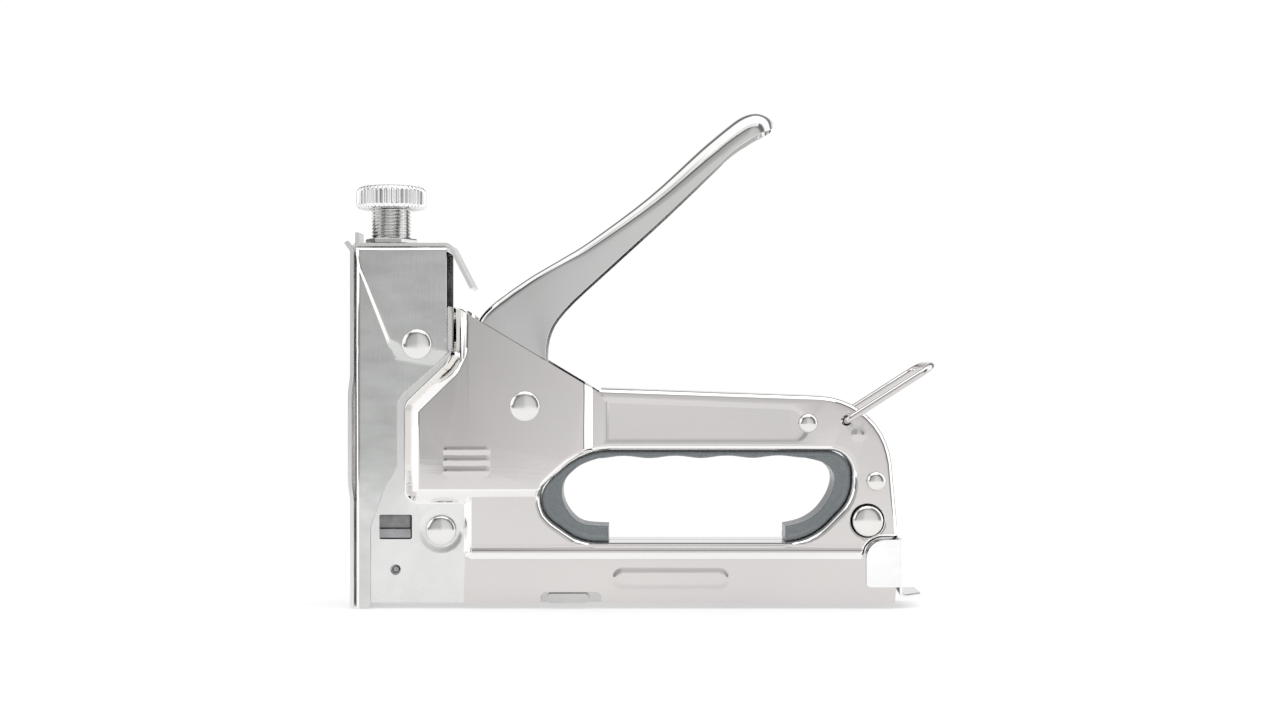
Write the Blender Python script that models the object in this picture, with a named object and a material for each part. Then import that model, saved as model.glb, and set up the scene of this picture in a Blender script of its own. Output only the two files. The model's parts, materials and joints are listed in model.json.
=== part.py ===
"""Hand staple gun, modelled as the separate pieces it is assembled from.

Metres, +Z up. The origin is the middle of the flat foot of the nose. The handle and the
magazine run to +X, the driver moves along Z, and Y = 0 is the plane where the shells meet.
Left is -Y for someone who holds the tool with the nose pointing away.
"""

import math

import bmesh
import bpy
from mathutils import Vector

MM = 0.001

# Clearances
GAP = 0.3 * MM              # between pieces that touch
SLIDE = 0.3 * MM            # round a piece that slides or turns in another

# Sheet thicknesses
SHELL_WALL = 1.0 * MM
HOUSING_WALL = 1.2 * MM
LEVER_WALL = 1.5 * MM
TRACK_WALL = 0.7 * MM
CAP_WALL = 1.0 * MM
PLATE_WALL = 1.1 * MM
CLIP_WALL = 1.0 * MM

# Widths, each from the centre plane to the outer face
CROWN = 11.4 * MM           # staple crown that the track holds
TRACK_INNER = CROWN / 2 + 0.15 * MM
TRACK_OUTER = TRACK_INNER + TRACK_WALL
FLANGE_LEVEL = TRACK_OUTER + GAP + SHELL_WALL
MAGAZINE_LEVEL = FLANGE_LEVEL + 0.55 * MM
HANDLE_LEVEL = MAGAZINE_LEVEL + 1.4 * MM
PANEL_LEVEL = HANDLE_LEVEL + 2.2 * MM
HOUSING_INNER = FLANGE_LEVEL + GAP
HOUSING_LEVEL = HOUSING_INNER + HOUSING_WALL
HOUSING_RAISED = HOUSING_LEVEL + 0.65 * MM
CAP_INNER = MAGAZINE_LEVEL + GAP
CAP_OUTER = CAP_INNER + CAP_WALL

# Column at the front
COLUMN_TOP = 101.8 * MM
COLUMN_DEPTH = 25.9 * MM    # front face to the rear edge of the upper cheeks
FRONT_X = -HOUSING_WALL / 2
BACK_OF_FRONT = HOUSING_WALL / 2
SCREW_X = 8.5 * MM
SCREW_RADIUS = 5.7 * MM
KNOB_RADIUS = 10.0 * MM
KNOB_HEIGHT = 6.3 * MM
KNOB_RIDGES = 36
KNOB_RIDGE_DEPTH = 0.45 * MM
KNOB_EDGE = 0.9 * MM        # chamfer round the knob's lower and upper edge
PRELOAD_TRAVEL = 6.5 * MM   # how far the screw can be turned in
SCREW_EXPOSED = PRELOAD_TRAVEL + 2.0 * MM    # thread that shows between the nut and the knob
BUMPER_TOP = 26.3 * MM
BUMPER_HEIGHT = 6.6 * MM
DRIVER_LIFT = 20.0 * MM
BLADE_THICKNESS = 1.2 * MM
PLUNGER_HEIGHT = 28.0 * MM
SPRING_RADIUS = 6.1 * MM    # outside
SPRING_WIRE = 2.2 * MM
SPRING_TURNS = 6.5

# Body and handle
SHELL_BOTTOM = 1.5 * MM
BODY_REAR = 152.8 * MM
HANDLE_START = 68.9 * MM    # where the closed top of the handle begins
HANDLE_TOP = 62.1 * MM
HOLE_LEFT = 52.6 * MM
HOLE_RIGHT = BODY_REAR - 13.5 * MM
HOLE_TOP = 44.5 * MM
HOLE_BOTTOM = 18.5 * MM
PANEL_BOTTOM = 31.0 * MM
PANEL_REAR = HANDLE_START - 0.8 * MM
EDGE_ROUND = 1.8 * MM
TRACK_TOP = HOLE_BOTTOM - SHELL_WALL - GAP
NOTCH = (51.8 * MM, 68.9 * MM, 4.5 * MM)

# Lever: positive turning closes it
PIVOT = (47.6 * MM, 57.0 * MM)
PIVOT_PIN_RADIUS = 2.4 * MM
LEVER_TRAVEL = math.radians(42.0)
LEVER_ROOT_HALF = 8.8 * MM
LEVER_TIP_HALF = 9.5 * MM
ARM_REACH = DRIVER_LIFT / (2 * math.sin(LEVER_TRAVEL / 2))
ARM_THICKNESS = 4.0 * MM
ARM_NOSE = 2.0 * MM
ARM_BOSS = 7.5 * MM
ARM_RIVET = (46.1 * MM, 66.4 * MM)

# Rivets: x, z, head radius, shank radius
RIVET_UPPER = (17.1 * MM, 74.4 * MM, 4.25 * MM, 2.0 * MM)
RIVET_LOWER = (23.6 * MM, 21.9 * MM, 4.25 * MM, 2.0 * MM)
RIVET_LARGE = (BODY_REAR - 8.9 * MM, 24.7 * MM, 4.3 * MM, 2.0 * MM)
RIVET_TOP = (BODY_REAR - 25.7 * MM, 52.2 * MM, 2.7 * MM, 1.5 * MM)
RIVET_MID = (BODY_REAR - 6.6 * MM, 35.9 * MM, 2.7 * MM, 1.5 * MM)
HEAD_HEIGHT = 1.5 * MM
TRACK_PIN = (10.8 * MM, 10.8 * MM, 0.9 * MM)

# Bail, end cap and pusher
BAIL_PIVOT = (BODY_REAR - 14.9 * MM, 53.0 * MM)
BAIL_LENGTH = 29.6 * MM
BAIL_ANGLE = math.radians(32.6)
BAIL_HALF = HANDLE_LEVEL + 1.8 * MM
BAIL_WIRE = 1.0 * MM
CAP_FRONT = BODY_REAR - 9.2 * MM
CAP_TOP = 19.4 * MM
CAP_BOTTOM = 6.0 * MM
CAP_LIP = 4.0 * MM
ROD_RADIUS = 1.8 * MM
ROD_Z = 12.0 * MM
PUSHER_FRONT = BACK_OF_FRONT + 2.7 * MM
PUSHER_LENGTH = 14.8 * MM
PUSHER_SPRING_RADIUS = 2.9 * MM
PUSHER_SPRING_WIRE = 0.6 * MM
PUSHER_SPRING_TURNS = 18

FAR = 40 * MM               # how far a cutter reaches past what it cuts


# ---------------------------------------------------------------- outlines

def fillet(corners, step=math.radians(22.5), steps=0):
    """Closed outline of (x, z) points from (x, z, radius) corners, with steps in each if given."""
    outline = []
    for i, (x, z, radius) in enumerate(corners):
        corner = Vector((x, z))
        before = Vector(corners[i - 1][:2]) - corner
        after = Vector(corners[(i + 1) % len(corners)][:2]) - corner
        turn = math.pi - before.angle(after)
        if radius <= 0 or turn < 0.01:
            outline.append(corner)
            continue
        room = 0.49 * min(before.length, after.length)
        reach = min(radius * math.tan(turn / 2), room)
        radius = reach / math.tan(turn / 2)
        start = corner + before.normalized() * reach
        end = corner + after.normalized() * reach
        middle = (before.normalized() + after.normalized()).normalized()
        centre = corner + middle * math.hypot(radius, reach)
        count = steps or max(2, math.ceil(turn / step))
        first, last = start - centre, end - centre
        for k in range(count + 1):
            share = k / count
            weight = math.sin(turn)
            spot = (first * math.sin((1 - share) * turn) + last * math.sin(share * turn)) / weight
            outline.append(centre + spot)
    return outline


def smooth(points, steps=5):
    """Catmull-Rom curve through the points, open at both ends."""
    spots = [Vector(p) for p in points]
    spots = [2 * spots[0] - spots[1]] + spots + [2 * spots[-1] - spots[-2]]
    curve = [spots[1]]
    for a, b, c, d in zip(spots, spots[1:], spots[2:], spots[3:]):
        for k in range(1, steps + 1):
            t = k / steps
            curve.append(0.5 * (2 * b + (c - a) * t + (2 * a - 5 * b + 4 * c - d) * t * t
                                + (3 * b - a - 3 * c + d) * t ** 3))
    return curve


def area(outline):
    return 0.5 * sum(a[0] * b[1] - b[0] * a[1] for a, b in zip(outline, outline[1:] + outline[:1]))


def offset(outline, distance):
    """The closed outline moved inward by distance, or outward when it is negative."""
    points = [Vector(p) for p in outline]
    side = 1 if area(outline) > 0 else -1
    moved = []
    for i, point in enumerate(points):
        a = (point - points[i - 1]).normalized()
        b = (points[(i + 1) % len(points)] - point).normalized()
        normal = Vector((-(a.y + b.y), a.x + b.x)) * side
        normal.normalize()
        moved.append(point + normal * (distance / max(0.3, math.cos(a.angle(b) / 2))))
    return moved


def offset_path(path, distance):
    """The open path moved sideways, to its left when distance is positive."""
    points = [Vector(p) for p in path]
    moved = []
    for i, point in enumerate(points):
        a = (point - points[i - 1]).normalized() if i else (points[1] - point).normalized()
        b = (points[i + 1] - point).normalized() if i < len(points) - 1 else a
        normal = Vector((-(a.y + b.y), a.x + b.x)).normalized()
        moved.append(point + normal * (distance / math.cos(a.angle(b) / 2)))
    return moved


def box_outline(x0, z0, x1, z1, radius=0.0):
    return fillet([(x0, z0, radius), (x1, z0, radius), (x1, z1, radius), (x0, z1, radius)])


def circle(x, z, radius, sides=24):
    return [Vector((x + radius * math.cos(2 * math.pi * k / sides),
                    z + radius * math.sin(2 * math.pi * k / sides))) for k in range(sides)]


# ---------------------------------------------------------------- solids

def mesh_object(name, bm):
    bmesh.ops.recalc_face_normals(bm, faces=bm.faces[:])
    mesh = bpy.data.meshes.new(name)
    bm.to_mesh(mesh)
    bm.free()
    obj = bpy.data.objects.new(name, mesh)
    bpy.context.scene.collection.objects.link(obj)
    return obj


def prism(low, high, y_low, y_high, name="tool"):
    """Solid between two XZ outlines with as many points each; y may be a function of x."""
    bm = bmesh.new()
    rings = []
    for outline, y in ((low, y_low), (high, y_high)):
        rings.append([bm.verts.new((p[0], y(p[0]) if callable(y) else y, p[1])) for p in outline])
    bm.faces.new(rings[0])
    bm.faces.new(rings[1])
    for i in range(len(low)):
        j = (i + 1) % len(low)
        bm.faces.new((rings[0][i], rings[0][j], rings[1][j], rings[1][i]))
    return mesh_object(name, bm)


def slab(outline, y0, y1, name="tool"):
    return prism(outline, outline, y0, y1, name)


def block(x0, x1, y0, y1, z0, z1, name="tool"):
    return slab(box_outline(x0, z0, x1, z1), y0, y1, name)


def lathe(profile, x, z, name="tool", sides=24, upright=False):
    """Solid of (radius, height) points turned round an axis along Y, or along Z if upright."""
    bm = bmesh.new()
    rings = []
    for radius, height in profile:
        ring = []
        for k in range(sides if radius > 0 else 1):
            angle = 2 * math.pi * k / sides
            a, b = radius * math.cos(angle), radius * math.sin(angle)
            ring.append(bm.verts.new((x + a, b, height) if upright else (x + a, height, z + b)))
        rings.append(ring)
    for low, high in zip(rings, rings[1:]):
        for k in range(sides):
            j = (k + 1) % sides
            corners = [low[k % len(low)], low[j % len(low)], high[j % len(high)], high[k % len(high)]]
            bm.faces.new(list(dict.fromkeys(corners)))
    for ring in (rings[0], rings[-1]):
        if len(ring) > 1:
            bm.faces.new(ring)
    return mesh_object(name, bm)


def tube_along(points, radius, name, sides=8):
    """Round wire along a list of 3-D points, closed at both ends."""
    bm = bmesh.new()
    spots = [Vector(p) for p in points]
    tangent = (spots[1] - spots[0]).normalized()
    normal = tangent.orthogonal().normalized()
    rings = []
    for i, spot in enumerate(spots):
        ahead = spots[min(i + 1, len(spots) - 1)] - spots[max(i - 1, 0)]
        ahead.normalize()
        normal = (normal - ahead * normal.dot(ahead)).normalized()
        side = ahead.cross(normal)
        rings.append([bm.verts.new(spot + (normal * math.cos(a) + side * math.sin(a)) * radius)
                      for a in (2 * math.pi * k / sides for k in range(sides))])
    for low, high in zip(rings, rings[1:]):
        for k in range(sides):
            j = (k + 1) % sides
            bm.faces.new((low[k], low[j], high[j], high[k]))
    bm.faces.new(rings[0])
    bm.faces.new(rings[-1])
    return mesh_object(name, bm)


def freeze(obj):
    """Replace the object's mesh with the result of its modifiers."""
    graph = bpy.context.evaluated_depsgraph_get()
    mesh = bpy.data.meshes.new_from_object(obj.evaluated_get(graph))
    old = obj.data
    obj.modifiers.clear()
    obj.data = mesh
    bpy.data.meshes.remove(old)


def boolean(obj, operation, *tools):
    for tool in tools:
        step = obj.modifiers.new("cut", "BOOLEAN")
        step.operation = operation
        step.object = tool
        freeze(obj)
        bpy.data.objects.remove(tool)
    return obj


def cut(obj, *tools):
    return boolean(obj, "DIFFERENCE", *tools)


def join(obj, *tools):
    return boolean(obj, "UNION", *tools)


def keep(obj, tool):
    return boolean(obj, "INTERSECT", tool)


def bevel(obj, width, segments, chosen):
    """Round the edges for which chosen(edge) is true."""
    bm = bmesh.new()
    bm.from_mesh(obj.data)
    bmesh.ops.dissolve_limit(bm, angle_limit=0.01, verts=bm.verts[:], edges=bm.edges[:])
    edges = [e for e in bm.edges if chosen(e)]
    bmesh.ops.bevel(bm, geom=edges, offset=width, segments=segments, profile=0.5,
                    affect="EDGES", clamp_overlap=True)
    bm.to_mesh(obj.data)
    bm.free()
    return obj


def material(name, colour, roughness, metallic):
    found = bpy.data.materials.get(name)
    if found:
        return found
    made = bpy.data.materials.new(name)
    made.use_nodes = True
    made.diffuse_color = (*colour, 1)
    shader = made.node_tree.nodes["Principled BSDF"]
    shader.inputs["Base Color"].default_value = (*colour, 1)
    shader.inputs["Roughness"].default_value = roughness
    shader.inputs["Metallic"].default_value = metallic
    return made


FINISHES = {
    "plated_steel": ((0.72, 0.72, 0.71), 0.22, 1.0),
    "hardened_steel": ((0.35, 0.35, 0.36), 0.35, 1.0),
    "grip_plastic": ((0.16, 0.18, 0.20), 0.5, 0.0),
    "bumper_rubber": ((0.05, 0.05, 0.05), 0.8, 0.0),
}


def finish(obj, name, finish_name, parent, pivot=None):
    """Name the piece, give it its material and hang it on the empty that carries it."""
    obj.name = name
    obj.data.name = name
    obj.data.materials.clear()
    obj.data.materials.append(material(finish_name, *FINISHES[finish_name]))
    bm = bmesh.new()
    bm.from_mesh(obj.data)
    bmesh.ops.remove_doubles(bm, verts=bm.verts[:], dist=0.00001)
    bmesh.ops.dissolve_limit(bm, angle_limit=0.002, verts=bm.verts[:], edges=bm.edges[:])
    bmesh.ops.triangulate(bm, faces=bm.faces[:])
    place = Vector(pivot) if pivot else Vector((0, 0, 0))
    bmesh.ops.translate(bm, vec=-place, verts=bm.verts[:])
    bm.to_mesh(obj.data)
    bm.free()
    obj.location = place
    obj.data.shade_smooth()
    obj.data.set_sharp_from_angle(angle=math.radians(35))
    obj.parent = parent
    obj.matrix_parent_inverse = parent.matrix_world.inverted()
    return obj


def empty(name, place=(0, 0, 0), parent=None):
    obj = bpy.data.objects.new(name, None)
    bpy.context.scene.collection.objects.link(obj)
    obj.location = place
    if parent:
        obj.parent = parent
        obj.matrix_parent_inverse = parent.matrix_world.inverted()
    bpy.context.view_layer.update()
    return obj


# ---------------------------------------------------------------- body shells

def hole_outline():
    """Finger hole seen from the side, with its slanted ends."""
    return fillet([
        (HOLE_LEFT + 10.8 * MM, HOLE_TOP, 12 * MM),
        (HOLE_LEFT - 1.3 * MM, HOLE_TOP - 11.0 * MM, 8 * MM),
        (HOLE_LEFT - 0.3 * MM, HOLE_BOTTOM + 7.7 * MM, 6 * MM),
        (HOLE_LEFT + 10.4 * MM, HOLE_BOTTOM, 10 * MM),
        (HOLE_RIGHT - 11.8 * MM, HOLE_BOTTOM, 9 * MM),
        (HOLE_RIGHT - 0.1 * MM, HOLE_BOTTOM + 14.0 * MM, 6 * MM),
        (HOLE_RIGHT + 0.5 * MM, HOLE_TOP, 10 * MM),
    ], math.radians(15))


def handle_corners(inset):
    """Top and rear of the handle, from the slot to the bottom, inset from the outer face."""
    drop = 0.035 * (BODY_REAR - HANDLE_START)
    return [
        (BODY_REAR - 1.0 * MM - inset, SHELL_BOTTOM, 0),
        (BODY_REAR - inset, 19.0 * MM, 0),
        (BODY_REAR - 3.7 * MM - inset, HANDLE_TOP - drop - inset, 21 * MM - inset),
        (HANDLE_START + inset, HANDLE_TOP - inset, 0),
    ]


def body_outline():
    """Outline of a shell, whose upper front edge is the slot that the lever leaves through."""
    left, right, top = NOTCH
    return fillet([
        (BACK_OF_FRONT + 2.1 * MM, SHELL_BOTTOM, 0),
        (left, SHELL_BOTTOM, 0), (left, top, 1.5 * MM), (right, top, 1.5 * MM), (right, SHELL_BOTTOM, 0),
        *handle_corners(0),
        (PANEL_REAR, HANDLE_TOP - 1.1 * MM, 0),
        (29.0 * MM, 84.4 * MM, 1.0 * MM), (25.6 * MM, 85.2 * MM, 0.5 * MM),
        (22.0 * MM, 80.0 * MM, 0), (BACK_OF_FRONT + 2.1 * MM, 80.0 * MM, 0),
    ])


def cavity_outline():
    """Hollow of a shell: walled along the handle and open at the front, bottom, slot and track."""
    corners = handle_corners(SHELL_WALL)[1:]
    track_roof = TRACK_TOP + GAP
    return fillet([
        (-FAR, -FAR, 0), (BODY_REAR + FAR, -FAR, 0), (BODY_REAR + FAR, track_roof, 0),
        (corners[0][0], track_roof, 0), *corners,
        (corners[-1][0], COLUMN_TOP + FAR, 0), (-FAR, COLUMN_TOP + FAR, 0),
    ])


def panel_outline(inset):
    """Raised area round the lever pivot, which runs out over the slot edge at the top."""
    step = 4 * MM - inset
    return fillet([
        (14.2 * MM + inset, PANEL_BOTTOM + inset, 4 * MM),
        (HOLE_LEFT + 0.9 * MM, PANEL_BOTTOM + inset, 1 * MM),
        (PANEL_REAR - 4 * MM + step, HOLE_TOP - 1.5 * MM + inset, 3 * MM),
        (PANEL_REAR - 4 * MM + step, COLUMN_TOP, 0),
        (28.4 * MM + inset, COLUMN_TOP, 0),
        (28.8 * MM + inset, 72.4 * MM, 3 * MM),
        (26.2 * MM + inset * 0.5, 67.8 * MM, 3 * MM),
        (14.2 * MM + inset, 57.0 * MM, 4 * MM),
    ], steps=2)


def handle_outline(inset):
    """Area at handle level: all behind the front strip and above the magazine side."""
    return fillet([
        (29.6 * MM + inset * 0.7, 14.0 * MM + inset, 0),
        (CAP_FRONT - 0.7 * MM, 14.0 * MM + inset, 0),
        (CAP_FRONT - 0.7 * MM, CAP_TOP + 0.2 * MM, 0),
        (BODY_REAR + FAR, CAP_TOP + 0.2 * MM, 0),
        (BODY_REAR + FAR, COLUMN_TOP, 0),
        (29.6 * MM + inset * 0.7, COLUMN_TOP, 0),
    ])


def shell_form(depth, start):
    """One half of the body, from y = start out to the surface that lies depth under the outer one."""
    whole = box_outline(-FAR, -FAR, BODY_REAR + FAR, COLUMN_TOP + FAR)
    form = slab(whole, start, -(FLANGE_LEVEL - depth))
    rear = box_outline(30.0 * MM + depth, -FAR + MM, BODY_REAR + FAR - MM, COLUMN_TOP + FAR - MM)
    join(form, slab(rear, start - MM, -(MAGAZINE_LEVEL - depth)))
    slope = 3.2 * MM
    join(form, prism(offset(handle_outline(0), depth), offset(handle_outline(slope), depth),
                     -(FLANGE_LEVEL - depth) + 0.5 * MM, -(HANDLE_LEVEL - depth)))
    join(form, prism(offset(panel_outline(-0.5 * MM), depth), offset(panel_outline(slope), depth),
                     -(FLANGE_LEVEL - depth) + 0.5 * MM, -(PANEL_LEVEL - depth)))
    return form


def rim_edge(level):
    """Edges between the outer surface of a form and the walls that stand on it."""
    def chosen(edge):
        if len(edge.link_faces) != 2:
            return False
        normals = [abs(f.normal.y) for f in edge.link_faces]
        middle = (edge.verts[0].co + edge.verts[1].co) / 2
        return middle.y < -level and max(normals) > 0.5 and min(normals) < 0.02
    return chosen


def make_shell(parent):
    outer = shell_form(0, -GAP / 2)
    keep(outer, slab(body_outline(), FAR, -FAR))
    cut(outer, slab(hole_outline(), FAR, -FAR))
    bevel(outer, EDGE_ROUND, 2, rim_edge(FLANGE_LEVEL - MM))
    cavity = shell_form(SHELL_WALL, GAP)
    keep(cavity, slab(cavity_outline(), FAR, -FAR))
    cut(cavity, slab(offset(hole_outline(), -SHELL_WALL), FAR, -FAR))
    bevel(cavity, EDGE_ROUND - SHELL_WALL + 0.2 * MM, 1, rim_edge(FLANGE_LEVEL - 2 * MM))
    cut(outer, cavity)
    for x, z, _, shank in (RIVET_UPPER, RIVET_LOWER, RIVET_LARGE, RIVET_TOP, RIVET_MID):
        cut(outer, slab(circle(x, z, shank + GAP, 16), FAR, -FAR))
    cut(outer, slab(circle(*PIVOT, PIVOT_PIN_RADIUS + GAP, 20), FAR, -FAR))
    cut(outer, slab(circle(*BAIL_PIVOT, BAIL_WIRE + 0.4 * MM, 16), FAR, -FAR))
    cut(outer, slab(circle(TRACK_PIN[0], TRACK_PIN[1], TRACK_PIN[2] + 0.6 * MM, 16), FAR, -FAR))
    cut(outer, slab(window_outline(0), FAR, -FAR))
    left = finish(outer, "left_shell", "plated_steel", parent)
    bm = bmesh.new()
    bm.from_mesh(left.data)
    bmesh.ops.scale(bm, vec=(1, -1, 1), verts=bm.verts[:])
    finish(mesh_object("right_shell", bm), "right_shell", "plated_steel", parent)


def window_outline(inset):
    """Rectangular window low on the nose, which the bumper fills."""
    return box_outline(6.2 * MM + inset, BUMPER_TOP - BUMPER_HEIGHT - 0.3 * MM + inset,
                       15.4 * MM - inset, BUMPER_TOP - inset)


# ---------------------------------------------------------------- column

def cheek_outline():
    """Side of the front housing: deep at the top, drawn in to a narrow strip at the nose."""
    back = FRONT_X + COLUMN_DEPTH
    waist = 11.1 * MM
    nose = 3.7 * MM
    return fillet([
        (FRONT_X - MM, 0, 0), (nose, 0, 0), (nose, 23.0 * MM, 6 * MM),
        (waist - 3.2 * MM, 34.5 * MM, 3 * MM),
        (waist, 39.0 * MM, 4 * MM), (waist, 59.0 * MM, 6 * MM), (back, 71.5 * MM, 2.5 * MM),
        (back, COLUMN_TOP, 0), (FRONT_X - MM, COLUMN_TOP, 0),
    ])


def raised_outline(inset):
    """Upper part of the cheek, raised behind a slanted crease."""
    return fillet([
        (9.1 * MM + inset, 73.8 * MM + inset, 0), (COLUMN_DEPTH + FAR, 73.8 * MM + inset, 0),
        (COLUMN_DEPTH + FAR, COLUMN_TOP + FAR, 0), (-6.1 * MM + inset, COLUMN_TOP + FAR, 0),
        (-2.2 * MM + inset, 103.0 * MM, 0),
    ])


def make_housing(parent):
    back = COLUMN_DEPTH + FAR
    body = block(FRONT_X, back, -HOUSING_LEVEL, HOUSING_LEVEL, 0, COLUMN_TOP)
    inner = block(BACK_OF_FRONT, back + MM, -HOUSING_INNER, HOUSING_INNER, -FAR, COLUMN_TOP - HOUSING_WALL)
    rise = HOUSING_RAISED - HOUSING_LEVEL
    for side in (-1, 1):
        raised = prism(raised_outline(0), raised_outline(rise), 0, side * HOUSING_RAISED)
        join(body, keep(raised, block(FRONT_X + 0.4 * MM, back - MM, -FAR, FAR, 0, COLUMN_TOP - 0.1 * MM)))
    outline = slab(cheek_outline(), -FAR, FAR)
    keep(body, outline)

    def front_corner(edge):
        a, b = edge.verts
        upright = abs(a.co.x - b.co.x) < 1e-6 and abs(a.co.y - b.co.y) < 1e-6
        return upright and abs(a.co.x - FRONT_X) < 1e-5 and abs(abs(a.co.y) - HOUSING_LEVEL) < 1e-5
    bevel(body, 1.8 * MM, 3, front_corner)
    cut(body, inner)
    bore = SCREW_RADIUS + SLIDE
    drill = [(bore, COLUMN_TOP - HOUSING_WALL - MM), (bore, COLUMN_TOP + FAR)]
    cut(body, lathe(drill, SCREW_X, 0, upright=True))
    cut(body, slab(circle(RIVET_UPPER[0], RIVET_UPPER[1], RIVET_UPPER[3] + GAP, 16), -FAR, FAR))
    finish(body, "front_housing", "plated_steel", parent)


def sheet(path, thickness, half_width, name):
    """Bent sheet whose edge line is the path and whose thickness lies to the path's left."""
    points = [Vector(p) for p in path]
    return slab(points + offset_path(points, thickness)[::-1], -half_width, half_width, name)


def make_front_plate(parent):
    skin = FRONT_X - GAP
    bulge = 0.6 * MM
    path = [
        (skin, GAP), (skin, 30.0 * MM), (skin - bulge, 33.0 * MM), (skin - bulge, 63.0 * MM),
        (skin, 66.0 * MM), (skin, COLUMN_TOP - 0.8 * MM), (skin - 1.9 * MM, COLUMN_TOP + 2.4 * MM),
    ]
    plate = sheet(path, PLATE_WALL, HOUSING_LEVEL - 0.8 * MM, "front_plate")
    cut(plate, block(-FAR, FAR, -4.9 * MM, 4.9 * MM, COLUMN_TOP - 0.8 * MM, COLUMN_TOP + FAR))
    finish(plate, "front_plate", "plated_steel", parent)


def make_clip(parent):
    low = COLUMN_TOP + GAP
    front = FRONT_X - 0.6 * MM
    back = FRONT_X + COLUMN_DEPTH + GAP
    path = [(front, low + 4.2 * MM), (front, low), (back, low), (back + 6.2 * MM, low - 12.4 * MM)]
    clip = sheet(path, CLIP_WALL, HOUSING_LEVEL - 1.2 * MM, "front_plate_clip")
    for side in (-1, 1):
        cut(clip, block(-FAR, BACK_OF_FRONT, side * 4.5 * MM, side * FAR, FAR, COLUMN_TOP + FAR))
    bore = SCREW_RADIUS + SLIDE
    cut(clip, lathe([(bore, COLUMN_TOP), (bore, COLUMN_TOP + FAR)], SCREW_X, 0, upright=True))
    finish(clip, "front_plate_clip", "plated_steel", parent)


def nut_top():
    return COLUMN_TOP + 2 * GAP + CLIP_WALL + 1.3 * MM


def make_nut(parent):
    bottom = COLUMN_TOP + 2 * GAP + CLIP_WALL
    bore = SCREW_RADIUS + SLIDE
    outside = 7.4 * MM
    nut = lathe([(outside, bottom), (outside, nut_top() - 0.3 * MM), (outside - 0.3 * MM, nut_top())],
                SCREW_X, 0, "adjuster_nut", 6, True)
    cut(nut, lathe([(bore, bottom - MM), (bore, nut_top() + MM)], SCREW_X, 0, upright=True))
    finish(nut, "adjuster_nut", "plated_steel", parent)


def cap_height():
    return 3.0 * MM


def cap_top():
    """Upper face of the disc that the screw presses on."""
    return COLUMN_TOP - HOUSING_WALL - 2 * GAP


def make_adjuster(preload, adjuster):
    top = cap_top()
    low = top - cap_height()
    radius = min(HOUSING_INNER, SCREW_X - BACK_OF_FRONT) - 0.9 * MM
    disc = lathe([(radius, low), (radius, top - 0.6 * MM), (radius - 0.6 * MM, top)],
                 SCREW_X, 0, "spring_top_cap", upright=True)
    finish(disc, "spring_top_cap", "hardened_steel", preload)
    knob_low = nut_top() + SCREW_EXPOSED
    chamfer = 0.7 * MM
    screw = lathe([
        (SCREW_RADIUS - chamfer, top + GAP), (SCREW_RADIUS, top + GAP + chamfer),
        (SCREW_RADIUS, knob_low - GAP),
    ], SCREW_X, 0, "adjusting_screw", upright=True)
    finish(screw, "adjusting_screw", "plated_steel", adjuster, (SCREW_X, 0, top))
    bm = bmesh.new()
    rings = []
    heights = ((0, KNOB_EDGE), (KNOB_EDGE, 0), (KNOB_HEIGHT - KNOB_EDGE, 0), (KNOB_HEIGHT, KNOB_EDGE))
    for height, cut_in in heights:
        ring = []
        for k in range(2 * KNOB_RIDGES):
            radius = KNOB_RADIUS - (KNOB_RIDGE_DEPTH if k % 2 else 0) - cut_in
            angle = math.pi * k / KNOB_RIDGES
            ring.append(bm.verts.new((SCREW_X + radius * math.cos(angle), radius * math.sin(angle),
                                      knob_low + height)))
        rings.append(ring)
    for low_ring, high_ring in zip(rings, rings[1:]):
        for k in range(len(low_ring)):
            j = (k + 1) % len(low_ring)
            bm.faces.new((low_ring[k], low_ring[j], high_ring[j], high_ring[k]))
    bm.faces.new(rings[0])
    bm.faces.new(rings[-1])
    knob = mesh_object("adjusting_knob", bm)
    finish(knob, "adjusting_knob", "plated_steel", adjuster, (SCREW_X, 0, knob_low))


# ---------------------------------------------------------------- driver

def coil(x, y, z, radius, wire, turns, height, name, along, sides=6, per_turn=12):
    """Open helical wire of the given outside radius, along X, Y or Z from its low end."""
    points = []
    count = round(turns * per_turn)
    mean = radius - wire / 2
    for k in range(count + 1):
        angle = 2 * math.pi * k / per_turn
        rise = wire / 2 + (height - wire) * k / count
        a, b = mean * math.cos(angle), mean * math.sin(angle)
        points.append({"X": (x + rise, y + a, z + b), "Y": (x + a, y + rise, z + b),
                       "Z": (x + a, y + b, z + rise)}[along])
    return tube_along(points, wire / 2, name, sides)


def plunger_low():
    return BUMPER_TOP + GAP


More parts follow.
